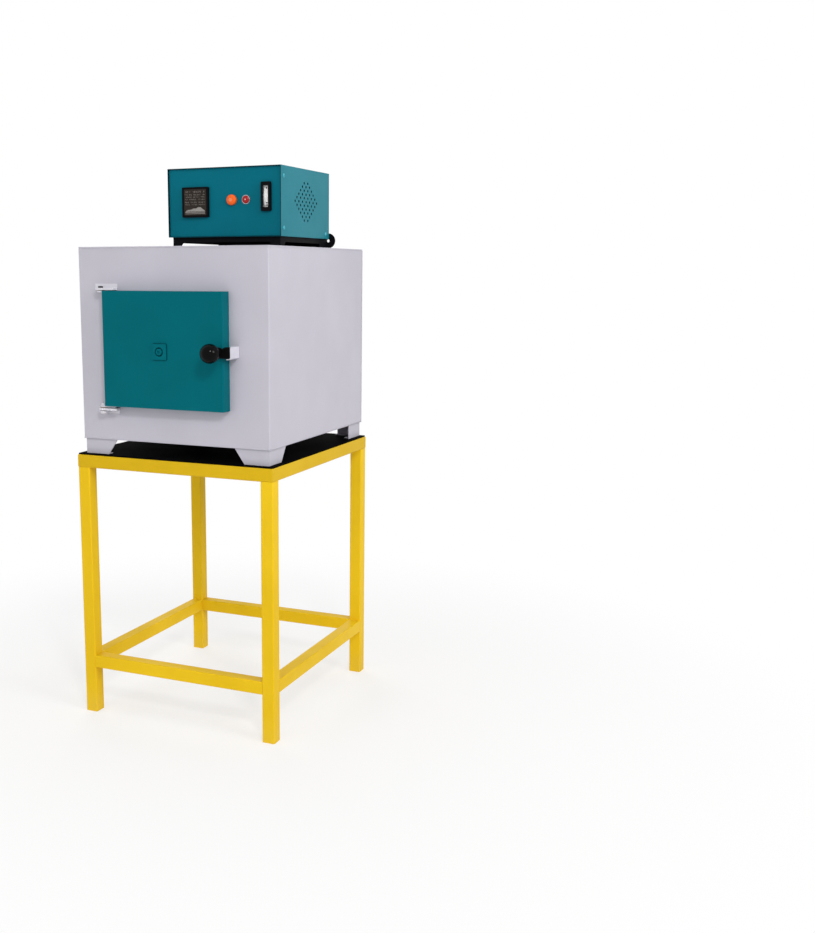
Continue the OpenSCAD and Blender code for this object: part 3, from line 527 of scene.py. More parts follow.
@dataclass(frozen=True)
class TwoTonePin(Finish):
    """Hinge pins: the upper pin's head is dark, and the nut under the lower lug is pale."""

    dark: str = "2B2A2C"
    pale: str = "D8D6DC"
    streak: str = "6F6D70"
    change: float = 950.0
    blur: float = 10.0
    streak_share: float = 0.15
    roughness: float = 0.36
    spread: float = 0.1
    scratch: float = 0.08
    scratch_depth: float = 0.2
    ior: float = 1.35

    def surface(self, graph: Graph, place: Socket) -> bpy.types.Node:
        """Join the two tones, which change with height, under the drawn streaks.

        Args:
            graph: the material's graph.
            place: the point's Object coordinates.

        Returns:
            The shader node.
        """
        height = graph.node("SeparateXYZ", Vector=place).outputs["Z"]
        upper = graph.ramp(height, MM * (self.change - self.blur), MM * (self.change + self.blur))
        drawn = graph.node("Group", node_tree=Effects.brushed(), Vector=place)
        streaks = drawn.outputs["Streaks"]
        colour = graph.blend(upper, linear(self.pale), linear(self.dark))
        colour = graph.blend(graph.math("MULTIPLY", streaks, self.streak_share), colour, linear(self.streak))
        rough = graph.math("MULTIPLY_ADD", streaks, self.spread, self.roughness)
        return graph.shader(colour, rough, drawn.outputs["Height"], self.scratch, self.scratch_depth,
                            IOR=self.ior)


@dataclass(frozen=True)
class PushCap(Finish):
    """Glossy cap of a push button with a paler, raised ring or middle on its crown; the red cap's pale middle
    is a painted highlight.
    """

    colour: str
    shade: str
    mark_and_highlight: str
    cap: Box
    inner: float
    outer: float
    strength: float
    blur: float = 0.4
    roughness: float = 0.2
    spread: float = 0.06
    relief: float = 0.6
    bump: float = 0.12
    bump_depth: float = 0.3
    ior: float = 1.4

    def surface(self, graph: Graph, place: Socket) -> bpy.types.Node:
        """Join the clouded cap and its paler ring round the cap's middle, raised by the bump; where the ring
        closes to a middle, as on the red cap, it is a painted highlight.

        Args:
            graph: the material's graph.
            place: the point's Object coordinates.

        Returns:
            The shader node.
        """
        part = graph.node("SeparateXYZ", Vector=place)
        middle_x, _, middle_z = self.cap.middle
        across = graph.math("SUBTRACT", part.outputs["X"], middle_x * MM)
        up = graph.math("SUBTRACT", part.outputs["Z"], middle_z * MM)
        far = graph.math("SQRT", graph.math("ADD", graph.math("MULTIPLY", across, across),
                                            graph.math("MULTIPLY", up, up)))
        past_inner = graph.ramp(far, MM * (self.inner - self.blur), MM * (self.inner + self.blur))
        before_outer = graph.fall(far, MM * (self.outer - self.blur), MM * (self.outer + self.blur))
        ring = graph.math("MULTIPLY", past_inner, before_outer)
        film = graph.node("Group", node_tree=Effects.skin(), Vector=place)
        clouds = film.outputs["Clouds"]
        colour = graph.blend(clouds, linear(self.colour), linear(self.shade))
        # Paler ring; on the red cap it is a painted highlight.
        colour = graph.blend(graph.math("MULTIPLY", ring, self.strength), colour, linear(self.mark_and_highlight))
        rough = graph.math("MULTIPLY_ADD", clouds, self.spread, self.roughness)
        height = graph.math("MULTIPLY_ADD", ring, self.relief, film.outputs["Height"])
        return graph.shader(colour, rough, height, self.bump, self.bump_depth, IOR=self.ior)


@dataclass(frozen=True)
class FloorWhite(Finish):
    """White floor that keeps the object's shadow and turns to the backdrop's white from near to far."""

    grey: float = 0.93
    roughness: float = 0.9
    near: float = 0.55
    far: float = 1.7
    least: float = 0.58

    def surface(self, graph: Graph, place: Socket) -> bpy.types.Node:
        """Mix matt paint with glow: the glow's share rises from least at near to 1 at far.

        Args:
            graph: the material's graph.
            place: the point's Object coordinates.

        Returns:
            The shader node.
        """
        distance = graph.node("VectorMath", place, operation="LENGTH").outputs["Value"]
        share = graph.math("MULTIPLY_ADD", graph.ramp(distance, self.near, self.far), 1.0 - self.least,
                           self.least)
        matt = graph.node("BsdfPrincipled", Base_Color=(self.grey, self.grey, self.grey, 1.0),
                          Roughness=self.roughness, Specular_IOR_Level=0.0)
        glow = graph.node("Emission", Color=WHITE, Strength=1.0)
        return graph.node("MixShader", graph.math("MULTIPLY", graph.backdrop_rays(), share), matt.outputs[0],
                          glow.outputs[0])


# Painted shade: what lies in this box, under the skin of the control box's sheets, is painted near black for
# the shade inside the box, on its rims and in its holes.
BOX_SHELL = Box.of("box_chassis", "box_side_left", "box_side_right")
BOX_SHADED_INSIDE = Box(left=BOX_SHELL.left + 0.4, right=BOX_SHELL.right - 0.4, front=BOX_SHELL.front - 2.0,
                 rear=BOX_SHELL.rear - 0.5, low=BOX_SHELL.low + 0.5, high=BOX_SHELL.high - 0.4)

YELLOW = Paint("yellow_stand_paint", "EBC31F", "E3BA1B", roughness=0.34, spread=0.1, dust=0.1, ior=1.16)
# Painted shade: the top rails wear a darker copy of the stand's yellow.
YELLOW_UPPER_SHADED = Paint("upper_rail_painted_shade", "D6AF1C", "CFA81A", roughness=0.36, spread=0.1, ior=1.14)
BLACK_SHEET = Paint("black_sheet_paint", "050506", "09090A", roughness=0.62, spread=0.1, peel=0.12,
                    peel_scale=1400.0, ior=1.04)
BLACK_TRAY = Paint("black_tray_paint", "0A0A0C", "101013", roughness=0.45, spread=0.12, peel=0.12,
                   peel_scale=1400.0, ior=1.12)
LILAC = Paint("casing_enamel", "BEBBC5", "BAB7C1", roughness=0.46, peel=0.04, ior=1.2)
TEAL = Paint("teal_enamel", "00646E", "005F69", roughness=0.36, ior=1.12)
TEAL_BOX = Paint("box_enamel", "046879", "056272", roughness=0.36, ior=1.13)
# The chassis carries the painted shade inside the box.
TEAL_SHELL_SHADED = replace(TEAL_BOX, name="shell_enamel_painted_shade", inside_shade=BOX_SHADED_INSIDE)
# Painted light: the side panels wear a lighter teal than the box's front; inside they carry the painted shade
# too.
TEAL_SIDE_LIT_AND_SHADED = Paint("side_enamel_painted_light_and_shade", "1B7886", "1A7380", roughness=0.38, ior=1.22, inside_shade=BOX_SHADED_INSIDE)
# Pale screw heads tinted teal: the teal is a painted reflection of the teal panels round them.
SCREW_TEAL_REFLECTION = Paint("screw_painted_teal_reflection", "4FB0BF", "45A2B2", roughness=0.3, ior=1.4)
# Painted shade: dark teal for the shadow in the gaps round the door's centre plate and its bolt.
TEAL_SHADE_LINE = Paint("seam_painted_shade", "00323A", "002C33", roughness=0.5, ior=1.1)
PALE_STEEL = Paint("pale_hinge_paint", "D6D4DB", "CBC9D1", roughness=0.4, spread=0.1, peel=0.06, ior=1.3)
CATCH_PAINT = Paint("catch_paint", "CFCDD6", "C6C4CE", roughness=0.4, spread=0.1, ior=1.3)
BLACK_STEEL = Paint("blackened_steel", "080708", "0D0C0D", roughness=0.4, spread=0.12, peel=0.1,
                    peel_scale=1800.0, ior=1.16)
STEEL = Metal("bright_steel", "C4C6CA", "9A9CA1", roughness=0.25, spread=0.18)
CHROME = Metal("bright_ring", "D5D7DA", "BFC2C6", roughness=0.16, spread=0.1, scratch=0.02)
BRASS = Metal("dull_brass", "8E7A55", "6E6045", roughness=0.42, spread=0.2)
KNOB = Paint("knob_gloss", "030203", "040304", roughness=0.07, spread=0.02, peel=0.01, ior=1.18)
BLACK_PLASTIC = Paint("black_plastic", "08080A", "0D0D0F", roughness=0.45, spread=0.1, peel=0.14,
                      peel_scale=2600.0, ior=1.13)
BROWN_FACE = Paint("instrument_face", "2E2925", "352F2B", roughness=0.4, spread=0.06, peel=0.03,
                   peel_scale=2000.0, ior=1.14)
FACE_GREY = Paint("face_print", "8F8A83", "7E7973", roughness=0.5, spread=0.05, peel=0.02, ior=1.3)
FACE_PALE = replace(FACE_GREY, name="graph_print", colour="B4B1AC", shade="9C9893")
SCALE_INK = replace(FACE_GREY, name="scale_print", colour="7C8086", shade="888C92")
SCALE_WHITE = Paint("scale_white", "FBFBF9", "F6F6F3", roughness=0.5, spread=0.06, peel=0.02, ior=1.3)
POINTER_INK = Paint("pointer_lacquer", "34100D", "26100E", roughness=0.4, spread=0.06, peel=0.02)
GREY_PLASTIC = Paint("grey_plastic", "B9B09C", "AAA28E", roughness=0.5, spread=0.1, peel=0.1,
                     peel_scale=2000.0)
ORANGE = PushCap("orange_cap", "F0640F", "E4590C", "D9A27C", Box.of("start_button"), inner=1.2, outer=4.2,
                 strength=0.55)
# Painted highlight: the red cap's pale middle.
RED = PushCap("red_cap_painted_highlight", "A80E0D", "920A09", "E3B5AC", Box.of("stop_button"), inner=-2.0, outer=1.8,
              strength=0.8)
BRICK = Refractory("insulating_brick", "E6DCC4", "DBCEB0", "B3A283")
FIBRE = Refractory("fibre_board", "F0EDE4", "E6E2D6", "CFC9BB", pore_scale=620.0, patch_scale=30.0, bump=0.25)
HEARTH = Refractory("hearth_ceramic", "CFC3A6", "BDAE8C", "8F8263", pore_scale=180.0, patch_scale=24.0,
                    bump=0.35)
ROD_CERAMIC = Refractory("rod_ceramic", "C9BDA6", "A89A80", "7C705B", pore_scale=900.0, patch_scale=60.0,
                         bump=0.2)
PORCELAIN = Paint("porcelain", "EDEAE2", "E2DED4", roughness=0.22, spread=0.06, peel=0.03, coat=0.5)
HOT_WIRE = Metal("oxidised_wire", "5A534C", "2F2B27", roughness=0.55, spread=0.25, scratch=0.2, fine=900.0)
PIN_FINISH = TwoTonePin("two_tone_pin")
WINDOW = Clear("clear_window")
FLOOR = FloorWhite("floor_white")


# Surfaces


class Body(Enum):
    """The moving bodies that a piece may ride on."""

    KILN = "kiln"
    DOOR = "door"
    LATCH = "latch"


class Turn(Enum):
    """Which way a screw's head looks."""

    RIGHT = (1.0, 0.0, 0.0)
    LEFT = (-1.0, 0.0, 0.0)
    BACK = (0.0, 1.0, 0.0)


def grid_faces(rows: int, cols: int, wrap_rows: bool, wrap_cols: bool) -> np.ndarray:
    """Quads that join the points of a grid numbered row by row.

    Args:
        rows: number of rows.
        cols: number of columns.
        wrap_rows: whether the last row joins the first.
        wrap_cols: whether the last column joins the first.

    Returns:
        Four point numbers for each quad.
    """
    r = np.arange(rows if wrap_rows else rows - 1)[:, None]
    c = np.arange(cols if wrap_cols else cols - 1)[None, :]
    r1, c1 = (r + 1) % rows, (c + 1) % cols
    return np.stack([r * cols + c, r * cols + c1, r1 * cols + c1, r1 * cols + c], axis=-1).reshape(-1, 4)


def unit(vectors: np.ndarray) -> np.ndarray:
    """Scale each vector to length 1.

    Args:
        vectors: an array whose last axis holds the parts.

    Returns:
        The unit vectors.
    """
    return vectors / np.linalg.norm(vectors, axis=-1, keepdims=True)


def sweep(path: np.ndarray, ring: np.ndarray, up: np.ndarray, closed: bool) -> np.ndarray:
    """Carry a ring along a path.

    Each point is the path's point, plus the ring's first value along the side, which is the cross product
    of up and the path's direction, plus the ring's second value along the direction crossed with that side.

    Args:
        path: n by 3 points.
        ring: m by 2 offsets, one ring for all or one for each path point.
        up: vector that is never along the path.
        closed: whether the path's end joins its start.

    Returns:
        n by m by 3 points.
    """
    if closed:
        along = np.roll(path, -1, axis=0) - np.roll(path, 1, axis=0)
    else:
        along = np.gradient(path, axis=0)
    along = unit(along)
    side = unit(np.cross(np.broadcast_to(up, path.shape), along))
    top = np.cross(along, side)
    return path[:, None, :] + ring[..., :1] * side[:, None, :] + ring[..., 1:] * top[:, None, :]


def round_ring(radius: float | np.ndarray, sides: int) -> np.ndarray:
    """Circles as offsets: the radius times cosine and sine of equal steps of a turn.

    Args:
        radius: one radius, or one for each path point.
        sides: points of each circle.

    Returns:
        Offsets, with one row of points for each radius.
    """
    turn = np.arange(sides) * (2 * np.pi / sides)
    return np.atleast_1d(radius)[:, None, None] * np.stack([np.cos(turn), np.sin(turn)], axis=-1)


def arc_points(middle: Sequence[float], radius: float, first: float, last: float, count: int) -> np.ndarray:
    """Points of an arc: the middle plus the radius times cosine and sine of equal steps of angle.

    Args:
        middle: the arc's middle.
        radius: its radius.
        first: first angle in degrees.
        last: last angle in degrees.
        count: number of points.

    Returns:
        count by 2 points.
    """
    angle = np.radians(np.linspace(first, last, count))
    return np.array(middle) + radius * np.stack([np.cos(angle), np.sin(angle)], axis=-1)


def rounded_loop(half_u: float, half_v: float, corner: float, count: int) -> np.ndarray:
    """Rectangle with round corners: four quarter circles in turn, then equal steps along their outline.

    Args:
        half_u: half of the width.
        half_v: half of the height.
        corner: corner radius.
        count: number of points.

    Returns:
        count by 2 points, counter-clockwise.
    """
    signs = ((1, 1), (-1, 1), (-1, -1), (1, -1))
    middles = [(u * (half_u - corner), v * (half_v - corner)) for u, v in signs]
    quarters = [arc_points(middle, corner, 90 * i, 90 * i + 90, count=7) for i, middle in enumerate(middles)]
    outline = np.vstack([*quarters, quarters[0][:1]])
    run = np.concatenate([[0], np.cumsum(np.linalg.norm(np.diff(outline, axis=0), axis=1))])
    step = np.arange(count) / count * run[-1]
    return np.stack([np.interp(step, run, outline[:, 0]), np.interp(step, run, outline[:, 1])], axis=-1)


def slab(outline: np.ndarray, front: float, rear: float) -> tuple[np.ndarray, np.ndarray, np.ndarray]:
    """Plate in the XZ plane: the outline at two depths, joined by quads and closed by two faces.

    Args:
        outline: points across and up, counter-clockwise.
        front: depth of its front face.
        rear: depth of its rear face.

    Returns:
        Points, quads and the two closing faces.
    """
    count = len(outline)
    points = np.stack([[(across, depth, up) for across, up in outline] for depth in (front, rear)])
    closing = np.array([np.arange(count), np.arange(2 * count - 1, count - 1, -1)])
    return points, grid_faces(2, count, False, True), closing


def low_form(outline: np.ndarray, shares: Sequence[float],
             rises: Sequence[float]) -> tuple[np.ndarray, np.ndarray]:
    """Low form over an outline: each row is the outline times a share, lifted by a rise.

    Args:
        outline: n by 2 points round the origin.
        shares: the rows' shares; 0 closes the form at its middle.
        rises: the rows' rises.

    Returns:
        Sideways, upward and outward places, and quads.
    """
    flat = outline * np.array(shares)[:, None, None]
    lift = np.broadcast_to(np.array(rises)[:, None, None], (*flat.shape[:2], 1))
    return np.concatenate([flat, lift], axis=-1), grid_faces(len(shares), len(outline), False, True)


def on_wall(points: np.ndarray, middle: Sequence[float], looks: int) -> np.ndarray:
    """Lay sideways, upward and outward places on an upright wall: outwards is y times the wall's look.

    Args:
        points: the places.
        middle: point of the wall that is their origin, in mm.
        looks: 1 for a wall that looks to the rear, -1 for one that looks to the front.

    Returns:
        Points in mm.
    """
    x, y, z = middle
    return np.stack([x + points[..., 0], y + looks * points[..., 2], z + points[..., 1]], axis=-1)


@dataclass
class Piece:
    """Gathers surfaces into one mesh and hands it to the frame.

    In mm, edge is the width of its rounded edges, and merge the distance within which points become one.
    """

    name: str
    finish: Finish
    slot: str
    body: Body = Body.KILN
    smooth: bool = False
    replaces: tuple[str, ...] = ()
    edge: float = 0.0
    merge: float = 2e-4
    points: list[np.ndarray] = field(default_factory=list)
    faces: list[list[int]] = field(default_factory=list)

    def add(self, points: np.ndarray, *faces: np.ndarray) -> None:
        """Add one surface.

        Args:
            points: its points in mm.
            faces: its faces' point numbers, one array for each number of corners.
        """
        first = sum(map(len, self.points))
        self.points.append(points.reshape(-1, 3))
        for group in faces:
            self.faces.extend((group + first).tolist())

    def add_sweep(self, path: np.ndarray, ring: np.ndarray, up: np.ndarray, closed: bool = False) -> None:
        """Add a swept tube, with both ends closed where its path is open.

        Args:
            path: the path's points.
            ring: its rings.
            up: the vector that turns the rings.
            closed: whether the path closes.
        """
        grid = sweep(path, ring, up, closed)
        if not closed:
            ends = np.repeat(path[[0, -1]][:, None, :], grid.shape[1], axis=1)
            grid = np.concatenate([ends[:1], grid, ends[1:]])
        self.add(grid, grid_faces(*grid.shape[:2], closed, True))

    def finish_up(self) -> None:
        """Make the object, close seams and poles, turn its faces outwards and let it ride."""
        mesh = bpy.data.meshes.new(self.name)
        mesh.from_pydata((np.concatenate(self.points) * MM).tolist(), [], self.faces)
        shaped = bmesh.new()
        shaped.from_mesh(mesh)
        bmesh.ops.remove_doubles(shaped, verts=shaped.verts, dist=self.merge * MM)
        bmesh.ops.dissolve_degenerate(shaped, dist=self.merge * MM / 2, edges=shaped.edges)
        bmesh.ops.recalc_face_normals(shaped, faces=shaped.faces)
        shaped.to_mesh(mesh)
        shaped.free()
        mesh.polygons.foreach_set("use_smooth", np.full(len(mesh.polygons), self.smooth))
        mesh.materials.append(self.finish.material())
        made = bpy.data.objects.new(self.name, mesh)
        bpy.context.scene.collection.objects.link(made)
        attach(made, self.body.value)
        if self.replaces:
            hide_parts(*self.replaces)
        if self.edge:
            soften(made, self.edge)
        LOG.info("%s: %d faces, rides on %s", self.name, len(mesh.polygons), self.body.value)


def soften(made: bpy.types.Object, width: float, sharp: float = 35.0, steps: int = 3) -> None:
    """Round a piece's sharp edges.

    Args:
        made: the piece.
        width: the rounded edge's width in mm.
        sharp: least angle of a sharp edge in degrees.
        steps: faces across the rounded edge.
    """
    edge = made.modifiers.new("soft_edges", "BEVEL")
    edge.width = width * MM
    edge.segments = steps
    edge.limit_method = "ANGLE"
    edge.angle_limit = math.radians(sharp)


def dress(finish: Finish, *names: str) -> None:
    """Put a finish on CAD nodes.

    Args:
        finish: the finish to use.
        names: the nodes' names.
    """
    for name in names:
        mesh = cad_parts[name].data
        mesh.materials.clear()
        mesh.materials.append(finish.material())
        LOG.info("%s wears %s", name, finish.name)


@dataclass(frozen=True)
class Screw:
    """Domed screw head with a cross recess; bar, reach, sink and rim are shares of its radius or height."""

    radius: float
    height: float
    bar: float = 0.16
    reach: float = 0.56
    sink: float = 0.55
    rim: float = 0.97
    sides: int = 48

    def head(self, place: Point, turn: Turn) -> tuple[np.ndarray, np.ndarray]:
        """Surface of the head.

        With u as the share of the radius, the rise is the head's height times the root of one minus the
        square of rim times u, less the sink where the point lies in either bar of the cross.

        Args:
            place: middle of the head's seat in mm.
            turn: the way that the head looks.

        Returns:
            Points and quads.
        """
        fine, coarse = np.linspace(0, 0.62, 16), np.linspace(0.66, 1.0, 9)
        share = np.concatenate([fine, coarse])[:, None]
        angle = (np.arange(self.sides) * (2 * np.pi / self.sides))[None, :]
        across, up = share * np.cos(angle), share * np.sin(angle)
        upright = (np.abs(across) < self.bar) & (np.abs(up) < self.reach)
        level = (np.abs(up) < self.bar) & (np.abs(across) < self.reach)
        rise = np.sqrt(1.0 - (self.rim * share) ** 2) - self.sink * (upright | level)
        rise[-1] = 0.0
        normal = np.array(turn.value)
        sides = across[..., None] * UP + up[..., None] * np.cross(normal, UP)
        points = np.array(place) + self.height * rise[..., None] * normal + self.radius * sides
        return points, grid_faces(len(share), self.sides, False, True)


SEGMENTS = {
    "a": (0.15, 0.9, 0.85, 1.0), "b": (0.82, 0.55, 1.0, 0.95), "c": (0.82, 0.05, 1.0, 0.45),
    "d": (0.15, 0.0, 0.85, 0.1), "e": (0.0, 0.05, 0.18, 0.45), "f": (0.0, 0.55, 0.18, 0.95),
    "g": (0.15, 0.45, 0.85, 0.55),
}
DIGITS = ("abcdef", "bc", "abged", "abgcd", "fgbc", "afgcd", "afgedc", "abc", "abcdefg", "abcdfg")
SPACE = -1


def digit_bars(numbers: Sequence[int], start: Sequence[float], size: Sequence[float],
               pitch: float) -> np.ndarray:
    """Bars of a row of plain seven-bar digits: each bar's sides are shares of the digit's size.

    Args:
        numbers: the digits from left to right, or SPACE.
        start: lower left corner of the first one.
        size: width and height of one.
        pitch: step from one to the next.

    Returns:
        One row of left, low, right and high for each bar.
    """
    corner, scale, step = np.array([*start, *start]), np.array([*size, *size]), np.array([pitch, 0.0] * 2)
    return np.array([corner + i * step + scale * SEGMENTS[bar]
                     for i, number in enumerate(numbers) if number != SPACE for bar in DIGITS[number]])


def bar_blocks(bars: np.ndarray, low: float, high: float) -> tuple[np.ndarray, np.ndarray]:
    """Thin raised blocks over flat bars, as sideways, upward and outward places.

    Args:
        bars: left, low, right and high of each bar.
        low: outward place of the underside.
        high: outward place of the face.

    Returns:
        Points (bars by 8 by 3) and quads.
    """
    left, down, right, top = range(4)
    flat = bars[:, [[left, down], [right, down], [right, top], [left, top]]]
    points = np.concatenate([np.concatenate([flat, np.full((len(bars), 4, 1), level)], axis=-1)
                             for level in (low, high)], axis=1)
    quads = np.array([[4, 5, 6, 7], [3, 2, 1, 0], [0, 1, 5, 4], [1, 2, 6, 5], [2, 3, 7, 6], [3, 0, 4, 7]])
    return points, (quads + 8 * np.arange(len(bars))[:, None, None]).reshape(-1, 4)


# Sub-assemblies


@dataclass
class Stand:
    """Square-tube stand: its paint, the black sheet and the painted weld beads at its joints."""

    legs: Box = Box.of("stand_legs")
    low_rail: Box = Box.of("low_rail_front")
    corner: float = 3.0
    sunk: float = 0.6
    bead: float = 0.75
    swell: float = 0.25
    ripple: float = 2.2
    steps: int = 132

    @property
    def tube(self) -> float:
        """Width of the stand's square tube."""
        return self.low_rail.high - self.low_rail.low

    def loop(self, middle: Point, across: np.ndarray, up: np.ndarray) -> np.ndarray:
        """Path round one tube: the rounded square of the tube's outline, laid out on two directions.

        Args:
            middle: middle of the tube at the joint.
            across: first direction of the joint's plane.
            up: second direction.

        Returns:
            The path's points.
        """
        half = self.tube / 2 - self.sunk
        flat = rounded_loop(half, half, self.corner, self.steps)
        return np.array(middle) + flat[:, :1] * across + flat[:, 1:] * up

    def weld_beads(self) -> None:
        """Painted beads round the joints of legs and rails; the radius swells and sinks once each ripple."""
        half = self.tube / 2
        leg_x, leg_y, rail_z = self.legs.right - half, self.legs.rear - half, self.low_rail.middle[2]
        ripples = round(4 * self.tube / self.ripple)
        wave = np.sin(2 * np.pi * ripples * np.arange(self.steps) / self.steps)
        ring = round_ring(self.bead * (1.0 + self.swell * wave), sides=8)
        piece = Piece("weld_beads", YELLOW, "yellow", smooth=True)
        for side, end in product((-1, 1), repeat=2):
            x, y = side * leg_x, end * leg_y
            piece.add_sweep(self.loop((x, y, self.legs.high), ACROSS, DEEP), ring, UP, closed=True)
            piece.add_sweep(self.loop((x - side * half, y, rail_z), DEEP, UP), ring, ACROSS, closed=True)
            piece.add_sweep(self.loop((x, y - end * half, rail_z), ACROSS, UP), ring, DEEP, closed=True)
        piece.finish_up()

    def build(self) -> None:
        """Dress the stand and add its weld beads."""
        dress(YELLOW, "stand_legs", "low_rail_front", "low_rail_rear", "low_rail_left", "low_rail_right")
        # Top rails: darker yellow, painted shade.
        dress(YELLOW_UPPER_SHADED, "top_rail_front", "top_rail_rear", "top_rail_left", "top_rail_right")
        dress(BLACK_SHEET, "stand_sheet")
        self.weld_beads()


@dataclass
class Casing:
    """Kiln casing: its enamel and bottom hem, the hinge and catch metal, and the rear screws and ears."""

    shell: Box = Box.of("casing_body", "casing_rear", "casing_top")
    guard: Box = Box.of("terminal_cover")
    catch: Box = Box.of("catch_bracket")
    hem: float = 1.1
    fold: float = 3.0
    strip: float = 2.0
    bend: float = 4.0
    ledge: float = 10.0
    flange_lap: float = 0.5
    flange_rise: float = 3.0
    catch_edge: float = 0.5
    ear_half: tuple[float, float] = (8.0, 12.0)
    ear_corner: float = 4.0
    ear_thick: float = 1.4
    ear_bevel: float = 0.2
    ear_face: float = 0.97
    ear_out: float = 7.0
    ear_in: float = 30.0
    screw: Screw = Screw(radius=4.2, height=2.4)
    side_count: int = 5
    side_inset: float = 9.0
    side_ends: tuple[float, float] = (24.0, 28.0)
    top_count: int = 3
    top_inset: float = 130.0
    top_drop: float = 14.0

    def bottom_hem(self) -> None:
        """Rolled hem under the wrap: a round tube along the left side, the front and the right side."""
        shell, fold = self.shell, self.fold
        left = arc_points((shell.left + fold, shell.front + fold), fold, 180, 270, count=7)
        right = arc_points((shell.right - fold, shell.front + fold), fold, 270, 360, count=7)
        plan = np.vstack([[[shell.left, shell.rear - fold]], left, right, [[shell.right, shell.rear - fold]]])
        path = np.column_stack([plan, np.full(len(plan), shell.low + self.hem)])
        piece = Piece("casing_hem", LILAC, "lilac", smooth=True)
        piece.add_sweep(path, round_ring(self.hem, sides=10), UP)
        piece.finish_up()

    def bent_catch(self) -> None:
        """Catch bent from strip: a short ledge, a round bend and a wall, on a flat flange on the casing.

        The strip's outline runs along the ledge's top, the bend's inner arc and the wall's inner face, and
        back along the outer face, the outer arc and the ledge's underside.
        """
        low, high, outer = self.catch.low, self.catch.high, self.catch.right
        inner, top = outer - self.strip, low + self.strip
        start = inner - self.ledge
        middle = (inner - self.bend, top + self.bend)
        inside = arc_points(middle, self.bend, -90, 0, count=9)
        outside = arc_points(middle, self.bend + self.strip, 0, -90, count=9)
        strip = np.vstack([[[start, top]], inside, [[inner, high], [outer, high]], outside, [[start, low]]])
        left, foot, end = self.catch.left, inner - self.strip, inner + self.flange_lap
        slope = top + self.flange_rise
        flange = np.array([[left, low], [foot, low], [end, slope], [end, high], [left, high]])
        piece = Piece("bent_catch", CATCH_PAINT, "hinge_metal", replaces=("catch_bracket",),
                      edge=self.catch_edge)
        piece.add(*slab(strip[::-1], self.catch.front, self.catch.rear))
        piece.add(*slab(flange, self.catch.rear - self.strip, self.catch.rear))
        piece.finish_up()

    def ear_places(self) -> list[tuple[float, float]]:
        """Middles of the rear guard's four ears, across and up.

        Returns:
            The four places.
        """
        guard = self.guard
        return list(product((guard.left - self.ear_out, guard.right + self.ear_out),
                            (guard.low + self.ear_in, guard.high - self.ear_in)))

    def guard_ears(self) -> None:
        """Four flat ears of the rear guard, each a rounded plate with a slightly smaller outer face."""
        outline = rounded_loop(*self.ear_half, self.ear_corner, count=48)
        rises = (0.0, 0.0, self.ear_thick - self.ear_bevel, self.ear_thick, self.ear_thick)
        places, faces = low_form(outline, (0.0, 1.0, 1.0, self.ear_face, 0.0), rises)
        piece = Piece("guard_flanges", LILAC, "lilac")
        for x, z in self.ear_places():
            piece.add(on_wall(places, (x, self.shell.rear, z), looks=1), faces)
        piece.finish_up()

    def rear_screws(self) -> None:
        """Cross-recess screws that hold the rear panel along its edges and the guard's four ears."""
        shell, (foot, head) = self.shell, self.side_ends
        columns = (shell.left + self.side_inset, shell.right - self.side_inset)
        heights = np.linspace(shell.low + foot, shell.high - head, self.side_count)
        spread = np.linspace(shell.left + self.top_inset, shell.right - self.top_inset, self.top_count)
        seats = [(x, shell.rear, z) for x in columns for z in heights]
        seats += [(x, shell.rear, shell.high - self.top_drop) for x in spread]
        seats += [(x, shell.rear + self.ear_thick, z) for x, z in self.ear_places()]
        piece = Piece("rear_screws", STEEL, "steel")
        for seat in seats:
            piece.add(*self.screw.head(seat, Turn.BACK))
        piece.finish_up()

    def build(self) -> None:
        """Dress the casing and add its fine pieces."""
        dress(LILAC, "casing_body", "casing_top", "casing_floor", "casing_feet", "casing_rear",
              "terminal_cover")
        dress(PALE_STEEL, "hinge_lug_top", "hinge_lug_bottom")
        dress(CATCH_PAINT, "catch_bracket")
        dress(PIN_FINISH, "hinge_pins")
        dress(BRASS, "hinge_washers")
        self.bottom_hem()
        self.bent_catch()
        self.guard_ears()
        self.rear_screws()


@dataclass
class Chamber:
    """Refractory lining and the resistance windings on the heating rods."""

    rods: Box = Box.of("heating_rods")
    rod: float = 3.0
    passes: int = 4
    start: float = -181.0
    end: float = 84.0
    wire: float = 0.55
    pitch: float = 3.4
    steps: int = 12

    def windings(self) -> None:
        """Wire round each straight pass of the rods: a helix about the rod's line, swept with a circle."""
        turns = int((self.end - self.start) / self.pitch)
        angle = np.linspace(0, 2 * np.pi * turns, turns * self.steps + 1)
        along = self.start + (self.end - self.start) * angle / angle[-1]
        reach = self.rod + self.wire
        helix = np.stack([reach * np.cos(angle), along, reach * np.sin(angle)], axis=-1)
        levels = np.linspace(self.rods.low + self.rod, self.rods.high - self.rod, self.passes)
        for name, x in (("winding_left", self.rods.left + self.rod),
                        ("winding_right", self.rods.right - self.rod)):
            piece = Piece(name, HOT_WIRE, "element", smooth=True)
            for z in levels:
                piece.add_sweep(helix + np.array([x, 0.0, z]), round_ring(self.wire, sides=5), DEEP)
            piece.finish_up()

    def build(self) -> None:
        """Dress the lining and wind the rods."""
        dress(BRICK, "brick_floor", "brick_roof", "brick_left", "brick_right", "brick_rear", "mouth_collar")
        dress(FIBRE, "backing_boards")
        dress(HEARTH, "hearth_plate")
        dress(ROD_CERAMIC, "heating_rods")
        dress(PORCELAIN, "ceramic_terminals", "thermocouple")
        self.windings()


